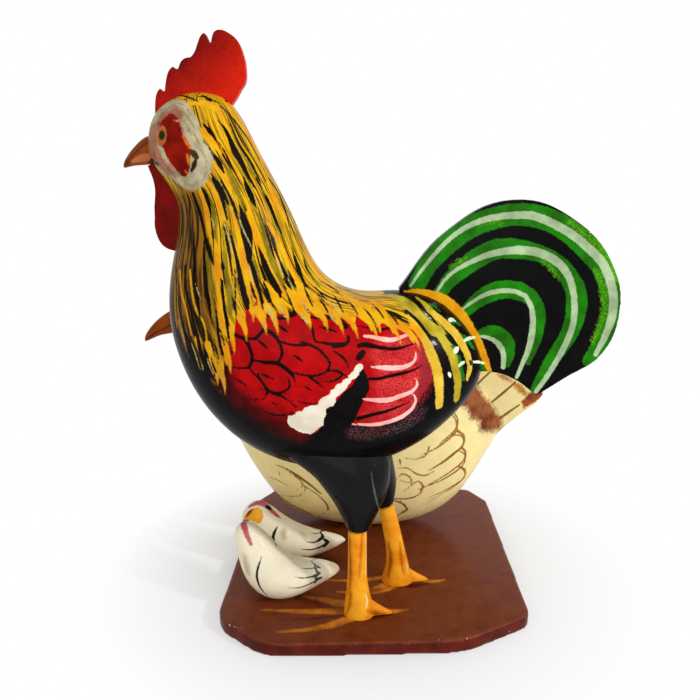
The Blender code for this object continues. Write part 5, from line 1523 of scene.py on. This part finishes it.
class ROOSTER_OT_board(Operator):
    """Saw and paint the brown board with its cut corners"""

    bl_idname = "rooster.board"
    bl_label = "Board"

    def execute(self, context):
        sizes = context.scene.rooster_sizes
        corners = [
            (x + BOARD_SIDE_LEAN * y, y + (BOARD_FRONT_LEAN * x if y < 0.0 else 0.0), radius)
            for x, y, radius in BOARD_CORNERS]
        board = saw(
            "painted_board", filleted(corners), BOARD_TOP, 0.0, sizes.board_grain, BOARD_RUBS,
            lying=True)
        points = read_points(board)
        points[:, 2] = np.clip(points[:, 2], 0.0, BOARD_TOP)
        write_points(board, points)
        canvas = Canvas(board, 0.0, folded=False)
        canvas.strokes("toes", TOES, 1.35)
        canvas.strokes("toe_shade", TOE_PAINTED_SHADOWS)
        canvas.strokes("chips", CHIPS)
        normals = np.empty(len(points) * 3)
        board.data.vertex_normals.foreach_get("vector", normals)
        # How much each normal stands up or down: 1 on the faces, 0 on the sides
        upright = np.abs(normals.reshape(-1, 3)[:, 2])
        arris_middle, arris_fall, arris_depth = 0.55, 0.12, 2.5
        store(board, "arris", arris_depth - np.abs(upright - arris_middle) / arris_fall)
        # Painted shade: the board's upright sides are painted darker than its top, by how upright
        # the surface stands
        store(board, "side", 1.0 - upright * 2.0)
        paint = paint_coat("brown_enamel", (linear(0.41, 0.175, 0.075), shade("board_brown")), (
            # Painted shade on the board's sides
            ("side", (0.3, 0.08, 0.04), (0.4, 0.12, 0.06), 0.4, 0.2),
            # Painted shadow round the feet on the board
            ("toe_shade", (0.22, 0.03, 0.01), (0.28, 0.04, 0.01), 0.8, 0.8),
            ("toes", (0.62, 0.33, 0.08), (0.86, 0.53, 0.14), 0.7, 0.8),
            ("arris", (0.45, 0.2, 0.14), (0.6, 0.36, 0.3), 0.9, 0.5, 0.6),
            ("chips", (0.8, 0.74, 0.68), (0.92, 0.88, 0.84), 0.15, 0.3),
        ), gloss=0.3, bump=0.1, shine=0.1)
        finish_piece(board, "base_board", paint)
        return {"FINISHED"}


class ROOSTER_OT_rooster_body(Operator):
    """Carve and paint the rooster's body, neck and head"""

    bl_idname = "rooster.rooster_body"
    bl_label = "Rooster body"

    def execute(self, context):
        sizes = context.scene.rooster_sizes
        body = carve(
            "carved_rooster_body", ROOSTER_SECTIONS, ROOSTER_Y, BODY_SIDES, sizes.carving_level)
        canvas = Canvas(body, ROOSTER_Y)
        hairs, gaps = hackle_fringe()
        canvas.area("hackle", HACKLE_AREA, breast_points(recall(body, "girth").astype(float)))
        for name, area in (
                ("wing_red", WING_RED_AREA), ("wing_gap", WING_GAP_AREA),
                ("wing_white", WING_WHITE_AREA), ("wing_speck", WING_EDGE_SHEEN_AREA),
                ("wing_shade", WING_PAINTED_SHADE_AREA), ("dry_brush", DRY_BRUSH_AREA),
                ("wing_bloom", WING_PAINTED_SHEEN_AREA), ("throat", THROAT_AREA),
                ("face_white", FACE_WHITE_AREA), ("face_pink", FACE_PINK_AREA),
                ("face_red", FACE_RED_AREA), ("eye_ring", EYE_RING_AREA), ("eye", EYE_AREA)):
            canvas.area(name, area)
        for name, strokes, press in (
                ("neck_black", NECK_BLACK + gaps, 1.15), ("neck_orange", NECK_ORANGE + hairs, 0.9),
                ("neck_olive", NECK_OLIVE, 1.0), ("neck_wisps", NECK_WISPS, 1.1),
                ("wing_black", WING_BLACK, 1.1), ("wing_pink", WING_PINK, 1.25),
                ("saddle_olive", SADDLE_OLIVE, 1.25), ("saddle_yellow", SADDLE_YELLOW, 1.15),
                ("saddle_orange", SADDLE_ORANGE, 1.0), ("saddle_green", SADDLE_GREEN, 1.0),
                ("saddle_white", SADDLE_WHITE, 1.0), ("saddle_black", SADDLE_BLACK, 1.1),
                ("face_touches", FACE_TOUCHES, 1.0), ("face_lines", FACE_PALE_LINES, 1.0),
                ("face_dark", FACE_DARK, 1.3), ("face_streaks", FACE_STREAKS, 1.2)):
            canvas.strokes(name, strokes, press)
        paint = paint_coat("rooster_enamel", (linear(0.03, 0.03, 0.035), shade("black")), (
            ("wing_red", (0.62, 0.02, 0.03), "wing_red", 0.15, 0.25),
            # Painted shade along the wing's left and lower border
            ("wing_shade", (0.22, 0.02, 0.02), (0.4, 0.02, 0.03), 2.8, 0.8),
            # Painted sheen over the rear of the wing
            ("wing_bloom", (0.8, 0.16, 0.18), (0.88, 0.32, 0.32), 2.5, 1.5, 0.5),
            # Painted sheen in specks along the wing's right edge
            ("wing_speck", (0.5, 0.2, 0.26), (0.4, 0.18, 0.22), 0.9, 1.2, 0.49),
            ("dry_brush", (0.42, 0.36, 0.38), (0.5, 0.2, 0.22), 1.2, 1.2, 0.56),
            ("wing_gap", (0.03, 0.02, 0.02), (0.06, 0.05, 0.05), 0.15, 0.25),
            ("wing_white", (0.9, 0.85, 0.76), (0.97, 0.93, 0.86), 0.12, 0.7),
            ("wing_black", (0.07, 0.02, 0.02), (0.12, 0.03, 0.03), 0.12, 0.15),
            ("wing_pink", (0.95, 0.66, 0.62), (1.0, 0.8, 0.76), 0.12, 0.2),
            ("saddle_olive", (0.6, 0.5, 0.08), (0.78, 0.7, 0.2), 0.2, 0.7),
            ("saddle_yellow", (0.82, 0.66, 0.14), (0.93, 0.78, 0.3), 0.2, 0.7),
            GREEN_SADDLE_COAT,
            ORANGE_SADDLE_COAT,
            ("saddle_black", (0.05, 0.03, 0.02), (0.08, 0.05, 0.04), 0.15, 0.3),
            WHITE_SADDLE_COAT,
            ("hackle", neck_feathers, None, 0.15, 0.2),
            ("neck_olive", (0.44, 0.38, 0.06), "olive", 0.3, 0.6),
            ("neck_orange", "orange", "yellow", 0.25, 0.4),
            ("neck_black", (0.05, 0.03, 0.02), (0.09, 0.06, 0.03), 0.15, 0.3),
            ("neck_wisps", (0.7, 0.64, 0.34), (0.82, 0.76, 0.5), 0.15, 0.3),
            ("face_white", (0.6, 0.55, 0.42), (0.8, 0.76, 0.62), 0.4, 0.9),
            ("face_streaks", (0.5, 0.42, 0.26), (0.62, 0.54, 0.38), 0.3, 0.6),
            ("face_pink", (0.56, 0.34, 0.25), (0.7, 0.48, 0.36), 0.8, 1.4),
            ("face_red", (0.42, 0.04, 0.01), (0.6, 0.09, 0.03), 0.2, 0.4),
            ("face_lines", (0.7, 0.42, 0.34), (0.8, 0.62, 0.5), 0.2, 0.4),
            ("face_touches", (0.8, 0.36, 0.08), (0.88, 0.52, 0.14), 0.2, 0.4),
            ("face_dark", (0.08, 0.03, 0.01), (0.3, 0.24, 0.08), 0.2, 0.4),
            ("eye_ring", (0.72, 0.36, 0.16), (0.8, 0.46, 0.24), 0.15, 0.2),
            ("eye", (0.12, 0.16, 0.06), (0.2, 0.26, 0.1), 0.15, 0.15),
        ))
        finish_piece(body, "rooster_body", paint)
        return {"FINISHED"}


class ROOSTER_OT_combs(Operator):
    """Saw and paint both combs and both wattles"""

    bl_idname = "rooster.combs"
    bl_label = "Combs and wattles"

    def execute(self, context):
        grain = context.scene.rooster_sizes.plate_grain
        paint = paint_coat("comb_enamel", (linear(0.4, 0.02, 0.0), linear(0.52, 0.03, 0.01)), (
            # Painted light: the comb's red painted brighter and more orange low and to the rear
            ("warm", (0.78, 0.1, 0.0), (0.84, 0.13, 0.02), 0.9, 0.5),
        ), bump=0.9, brush=1.5)
        pieces = (
            ("rooster_comb", COMB_OUTLINE, "comb", ROOSTER_Y),
            ("rooster_wattle", WATTLE_OUTLINE, "wattle", ROOSTER_Y),
            ("hen_comb", HEN_COMB_OUTLINE, "hen_comb", HEN_Y),
            ("hen_wattle", HEN_WATTLE_OUTLINE, "hen_wattle", HEN_Y),
        )
        for node, outline, kind, plane_y in pieces:
            piece = saw(
                "sawn_" + node, outline, FLAT_THICKNESS[kind], plane_y, grain * COMB_FINENESS,
                PLATE_RUBS)
            store(piece, "warm", comb_painted_light(read_points(piece), kind.endswith("comb")))
            finish_piece(piece, node, paint)
        return {"FINISHED"}


class ROOSTER_OT_beaks(Operator):
    """Carve and paint both beaks"""

    bl_idname = "rooster.beaks"
    bl_label = "Beaks"

    def execute(self, context):
        level = context.scene.rooster_sizes.small_level
        paint = paint_coat("beak_enamel", plain_pair("beak_brown", 0.72), (
            ("beak_under", (0.7, 0.38, 0.22), (0.78, 0.46, 0.28), 0.4, 0.4),
            ("beak_line", (0.3, 0.12, 0.04), (0.4, 0.2, 0.08), 0.2, 0.2),
        ))
        pieces = (
            ("rooster_beak", ROOSTER_BEAK_SECTIONS, ROOSTER_Y, "beak_paint"),
            ("hen_beak", HEN_BEAK_SECTIONS, HEN_Y, "hen_beak_paint"),
        )
        for node, sections, plane_y, slot in pieces:
            piece = carve("carved_" + node, sections, plane_y, BEAK_SIDES, level)
            canvas = Canvas(piece, plane_y)
            canvas.strokes("beak_under", BEAK_UNDER)
            canvas.strokes("beak_line", BEAK_LINES)
            finish_piece(piece, node, paint)
        return {"FINISHED"}


class ROOSTER_OT_tail(Operator):
    """Saw and paint the rooster's tail board"""

    bl_idname = "rooster.tail"
    bl_label = "Rooster tail"

    def execute(self, context):
        grain = context.scene.rooster_sizes.plate_grain
        tail = saw(
            "sawn_rooster_tail", TAIL_OUTLINE, FLAT_THICKNESS["tail"], ROOSTER_Y, grain,
            PLATE_RUBS)
        canvas = Canvas(tail, ROOSTER_Y, FLAT_THICKNESS["tail"] / 2.0)
        for name, strokes in (
                ("tail_green", TAIL_GREEN), ("tail_lime", TAIL_LIME_AND_SHEEN),
                ("tail_quills", TAIL_QUILLS), ("saddle_orange", SADDLE_ORANGE),
                ("saddle_white", SADDLE_WHITE), ("saddle_green", SADDLE_GREEN)):
            canvas.strokes(name, strokes)
        paint = paint_coat("tail_enamel", (linear(0.03, 0.03, 0.03), shade("black")), (
            ("tail_green", (0.12, 0.36, 0.03), "green", 0.2, 0.6),
            # Lime paint with a painted reflection down the tail's right part
            ("tail_lime", (0.3, 0.6, 0.05), (0.42, 0.68, 0.1), 0.6, 1.4, 0.5),
            ("tail_quills", (0.58, 0.66, 0.5), "pale_green", 0.15, 0.35),
            GREEN_SADDLE_COAT,
            ORANGE_SADDLE_COAT,
            WHITE_SADDLE_COAT,
        ))
        finish_piece(tail, "rooster_tail", paint)
        return {"FINISHED"}


class ROOSTER_OT_thighs(Operator):
    """Carve and paint the rooster's thighs"""

    bl_idname = "rooster.thighs"
    bl_label = "Thighs"

    def execute(self, context):
        level = context.scene.rooster_sizes.small_level
        paint = paint_coat("thigh_enamel", plain_pair("black"), (
            # Painted sheen on the thigh's edge, and the pale cuff line
            ("thigh_line", (0.3, 0.31, 0.24), (0.42, 0.42, 0.34), 0.2, 0.3),
        ), bump=0.9, brush=2.0, shine=0.12)
        pieces = (
            ("rooster_left_thigh", LEFT_THIGH_SECTIONS, LEFT_LEG_Y),
            ("rooster_right_thigh", RIGHT_THIGH_SECTIONS, RIGHT_LEG_Y),
        )
        for node, sections, plane_y in pieces:
            piece = carve("carved_" + node, sections, plane_y, LIMB_SIDES, level)
            Canvas(piece, plane_y).strokes("thigh_line", THIGH_SHEEN_AND_CUFF_LINES)
            finish_piece(piece, node, paint)
        return {"FINISHED"}


def carve_leg(name, sections, cuff_slant, plane_y, level):
    """Shank and flared foot, with the rear toe worked into it."""
    top, cuff = sections[0][:2]
    bottom, foot = sections[-1][:2]
    shank = []
    for height, middle, width, depth in sections:
        rise = cuff_slant * (height / top) ** 2 / 2.0
        shank.append(((middle - width / 2.0, height - rise), (middle + width / 2.0, height + rise),
                      depth))
    leg = carve(name, [(cuff, top)] + shank + [(foot, bottom)], plane_y, LIMB_SIDES, level)
    toe_rings = [((foot + reach, REAR_TOE_UNDERSIDE), (foot + reach, height), half)
                 for reach, height, half in REAR_TOE_SECTIONS]
    root = (foot, REAR_TOE_ROOT)
    tip = (foot + REAR_TOE_SECTIONS[-1][0] + REAR_TOE_POINT, 0.0)
    toe = carve(name + "_toe", [root] + toe_rings + [tip], plane_y, TOE_SIDES, level)
    select_only(leg)
    toe.select_set(True)
    bpy.ops.object.join()
    add_modifier(leg, "REMESH", mode="VOXEL", voxel_size=LEG_GRAIN * MM)
    add_modifier(leg, "SMOOTH", factor=0.5, iterations=LEG_RUBS)
    flatten_base(leg)
    select_only(leg)
    bpy.ops.object.shade_smooth()
    return leg


class ROOSTER_OT_legs(Operator):
    """Carve and paint the rooster's legs"""

    bl_idname = "rooster.legs"
    bl_label = "Legs"

    def execute(self, context):
        paint = paint_coat("leg_enamel", (linear(0.93, 0.53, 0.08), linear(0.99, 0.68, 0.15)), (
            # Painted shade on the legs
            ("leg_shade", (0.6, 0.26, 0.03), (0.76, 0.4, 0.06), 0.8, 0.6),
            # Painted highlights on the legs
            ("leg_light", (0.99, 0.8, 0.42), (1.0, 0.9, 0.7), 0.3, 0.4),
        ))
        pieces = (
            ("rooster_left_leg", LEFT_LEG_SECTIONS, 0.0, LEFT_LEG_Y),
            ("rooster_right_leg", RIGHT_LEG_SECTIONS, RIGHT_CUFF_SLANT, RIGHT_LEG_Y),
        )
        for node, sections, slant, plane_y in pieces:
            piece = carve_leg("carved_" + node, sections, slant, plane_y, LEG_LEVEL)
            canvas = Canvas(piece, plane_y)
            canvas.strokes("leg_shade", LEG_PAINTED_SHADES, 1.6)
            canvas.strokes("leg_light", LEG_PAINTED_HIGHLIGHTS)
            finish_piece(piece, node, paint)
        return {"FINISHED"}


class ROOSTER_OT_hen(Operator):
    """Carve and paint the hen's body and saw its tail board"""

    bl_idname = "rooster.hen"
    bl_label = "Hen"

    def execute(self, context):
        sizes = context.scene.rooster_sizes
        body = carve("carved_hen_body", HEN_SECTIONS, HEN_Y, BODY_SIDES, sizes.carving_level)
        flatten_base(body)
        tail = saw(
            "sawn_hen_tail", HEN_TAIL_OUTLINE, FLAT_THICKNESS["hen_tail"], HEN_Y,
            sizes.plate_grain, PLATE_RUBS)
        cover = Canvas(body, HEN_Y)
        fan = Canvas(tail, HEN_Y, FLAT_THICKNESS["hen_tail"] / 2.0)
        for canvas in (cover, fan):
            for name, area in (
                    ("hen_saddle", HEN_SADDLE_AREA), ("hen_tip", HEN_TIP_AREA),
                    ("hen_face", HEN_FACE_AREA)):
                canvas.area(name, area)
            for name, strokes in (
                    ("hen_tail_lines", HEN_TAIL_LINES), ("hen_smudges", HEN_SHADOW_AND_BROWN_PATCHES),
                    ("hen_lines", HEN_FEATHER_LINES), ("hen_wing_lines", HEN_WING_LINES),
                    ("hen_eye_ring", HEN_EYE_RING), ("hen_eye", HEN_EYE)):
                canvas.strokes(name, strokes)
        store(body, "hen_scales", feather_scales(body))
        store(tail, "hen_scales", np.full(len(tail.data.vertices), -Canvas.REACH))
        paint = paint_coat("hen_enamel", plain_pair("cream", 0.92), (
            ("hen_scales", (0.6, 0.46, 0.2), (0.7, 0.55, 0.28), 0.2, 0.3),
            # Painted shadow at the hen's left edge, and brown patches on her tail
            ("hen_smudges", (0.72, 0.46, 0.2), (0.85, 0.64, 0.32), 0.8, 2.0),
            ("hen_tail_lines", (0.5, 0.34, 0.1), (0.6, 0.42, 0.16), 0.2, 0.3),
            ("hen_tip", (0.5, 0.22, 0.1), (0.68, 0.36, 0.2), 0.5, 1.5),
            ("hen_saddle", (0.4, 0.16, 0.07), (0.62, 0.37, 0.22), 1.6, 3.2),
            ("hen_lines", (0.62, 0.38, 0.18), (0.72, 0.48, 0.26), 0.2, 0.4),
            ("hen_wing_lines", (0.45, 0.32, 0.12), (0.6, 0.46, 0.2), 0.2, 0.3),
            ("hen_face", (0.6, 0.12, 0.05), (0.72, 0.2, 0.1), 0.3, 0.5),
            ("hen_eye_ring", (0.72, 0.4, 0.16), (0.8, 0.5, 0.24), 0.15, 0.2),
            ("hen_eye", (0.05, 0.05, 0.03), (0.1, 0.1, 0.05), 0.15, 0.15),
        ))
        finish_piece(body, "hen_body", paint)
        finish_piece(tail, "hen_tail", paint)
        return {"FINISHED"}


class ROOSTER_OT_chicks(Operator):
    """Carve and paint the two chicks"""

    bl_idname = "rooster.chicks"
    bl_label = "Chicks"

    def execute(self, context):
        level = context.scene.rooster_sizes.small_level
        paint = paint_coat("chick_enamel", plain_pair("chick_white", 0.92), (
            # Pale olive patches, the one down the left side painted shade
            ("chick_smudges", (0.72, 0.66, 0.5), (0.82, 0.76, 0.6), 1.5, 0.8),
            ("chick_pink", (0.74, 0.32, 0.36), (0.86, 0.48, 0.5), 0.3, 0.6),
            ("chick_gold", (0.9, 0.55, 0.08), (0.98, 0.7, 0.2), 0.3, 0.6),
            # Brown at the beaks, partly painted shade under the rear chick's beak
            ("chick_brown", (0.45, 0.12, 0.08), (0.6, 0.35, 0.12), 0.4, 0.5),
            ("chick_grey", (0.22, 0.25, 0.22), (0.34, 0.36, 0.32), 0.2, 0.3),
            ("chick_black", (0.1, 0.09, 0.04), (0.18, 0.17, 0.1), 0.2, 0.2),
        ))
        pieces = (
            ("front_chick", FRONT_CHICK_SECTIONS, FRONT_CHICK_Y),
            ("rear_chick", REAR_CHICK_SECTIONS, REAR_CHICK_Y),
        )
        for node, sections, plane_y in pieces:
            piece = carve("carved_" + node, sections, plane_y, LIMB_SIDES, level)
            flatten_base(piece)
            canvas = Canvas(piece, plane_y)
            canvas.area("chick_gold", CHICK_GOLD_AREA)
            for name, strokes in (
                    ("chick_smudges", CHICK_SHADE_AND_OLIVE_PATCHES), ("chick_pink", CHICK_PINK),
                    ("chick_brown", CHICK_BROWN_AND_SHADE), ("chick_grey", CHICK_GREY),
                    ("chick_black", CHICK_BLACK)):
                canvas.strokes(name, strokes)
            finish_piece(piece, node, paint)
        return {"FINISHED"}


def drive_nail(name):
    """A nail through the rump, its domed head on the paint where the CAD nail stands."""
    low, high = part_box(name)
    x, z = (low[0] + high[0]) / 2.0, (low[2] + high[2]) / 2.0
    body = bpy.data.objects["carved_rooster_body"]
    before_body = -0.2
    hit, place, _normal, _face = body.ray_cast((x, before_body, z), (0.0, 1.0, 0.0))
    if not hit:
        raise RuntimeError("no wood under " + name)
    length = high[1] - place.y
    bpy.ops.object.select_all(action="DESELECT")
    bpy.ops.mesh.primitive_cylinder_add(
        vertices=NAIL_SIDES, radius=NAIL_RADIUS * MM, depth=length,
        location=(x, place.y + length / 2.0, z), rotation=(math.pi / 2.0, 0.0, 0.0))
    nail = bpy.context.object
    nail.name = "driven_" + name
    bpy.ops.object.transform_apply(location=True, rotation=True, scale=True)
    bpy.ops.object.mode_set(mode="EDIT")
    bpy.ops.mesh.select_all(action="DESELECT")
    builder = bmesh.from_edit_mesh(nail.data)
    for face in builder.faces:
        face.select = face.normal.y < -0.9
    bmesh.update_edit_mesh(nail.data)
    centre = (x, place.y, z)
    bpy.ops.mesh.extrude_region_move()
    bpy.ops.transform.resize(
        value=(NAIL_HEAD_SPREAD, 1.0, NAIL_HEAD_SPREAD), center_override=centre)
    bpy.ops.mesh.extrude_region_move(
        TRANSFORM_OT_translate={"value": (0.0, -NAIL_HEAD_HEIGHT * MM, 0.0)})
    bpy.ops.transform.resize(
        value=(NAIL_DOME_SPREAD, 1.0, NAIL_DOME_SPREAD), center_override=centre)
    bpy.ops.mesh.inset(thickness=NAIL_DOME_INSET * MM)
    bpy.ops.object.mode_set(mode="OBJECT")
    add_modifier(nail, "BEVEL", width=NAIL_EDGE * MM, segments=2)
    select_only(nail)
    bpy.ops.object.shade_smooth_by_angle(angle=math.radians(40.0))
    return nail


def dress(obj, material):
    """Put one material on a CAD node's own slots."""
    if not obj.material_slots:
        obj.data.materials.append(material)
    for slot in obj.material_slots:
        slot.material = material


class ROOSTER_OT_fixings(Operator):
    """Give the nails and pegs their steel and bare wood"""

    bl_idname = "rooster.fixings"
    bl_label = "Nails and pegs"

    def execute(self, context):
        steel = paint_coat("dark_steel", plain_pair("steel", 0.5), gloss=0.35)
        steel.node_tree.nodes["Principled BSDF"].inputs["Metallic"].default_value = 1.0
        wood = paint_coat("bare_wood_grain", plain_pair("wood", 0.75), gloss=0.6)
        for name in TAIL_NAILS:
            finish_piece(drive_nail(name), name, steel)
        for name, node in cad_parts.items():
            if name.endswith("_nail") and name not in TAIL_NAILS:
                dress(node, steel)
            elif name.endswith("_peg"):
                dress(node, wood)
        return {"FINISHED"}


class ROOSTER_PT_panel(Panel):
    """Buttons for the pieces, in the order in which they are made"""

    bl_idname = "ROOSTER_PT_panel"
    bl_label = "Painted rooster group"
    bl_space_type = "VIEW_3D"
    bl_region_type = "UI"
    bl_category = "Rooster"

    def draw(self, context):
        column = self.layout.column()
        for step in STEPS:
            column.operator(step.bl_idname)


STEPS = (
    ROOSTER_OT_stage, ROOSTER_OT_board, ROOSTER_OT_rooster_body, ROOSTER_OT_combs,
    ROOSTER_OT_beaks, ROOSTER_OT_tail, ROOSTER_OT_thighs, ROOSTER_OT_legs, ROOSTER_OT_hen,
    ROOSTER_OT_chicks, ROOSTER_OT_fixings,
)
CLASSES = (CarvingSizes, PaintShades) + STEPS + (ROOSTER_PT_panel,)


def register():
    for item in CLASSES:
        bpy.utils.register_class(item)
    bpy.types.Scene.rooster_sizes = PointerProperty(type=CarvingSizes)
    bpy.types.Scene.rooster_paint = PointerProperty(type=PaintShades)


def unregister():
    del bpy.types.Scene.rooster_paint
    del bpy.types.Scene.rooster_sizes
    for item in reversed(CLASSES):
        bpy.utils.unregister_class(item)


def main():
    register()
    bpy.ops.rooster.stage()
    bpy.ops.rooster.board()
    bpy.ops.rooster.rooster_body()
    bpy.ops.rooster.combs()
    bpy.ops.rooster.beaks()
    bpy.ops.rooster.tail()
    bpy.ops.rooster.thighs()
    bpy.ops.rooster.legs()
    bpy.ops.rooster.hen()
    bpy.ops.rooster.chicks()
    bpy.ops.rooster.fixings()


if __name__ == "__main__":
    main()
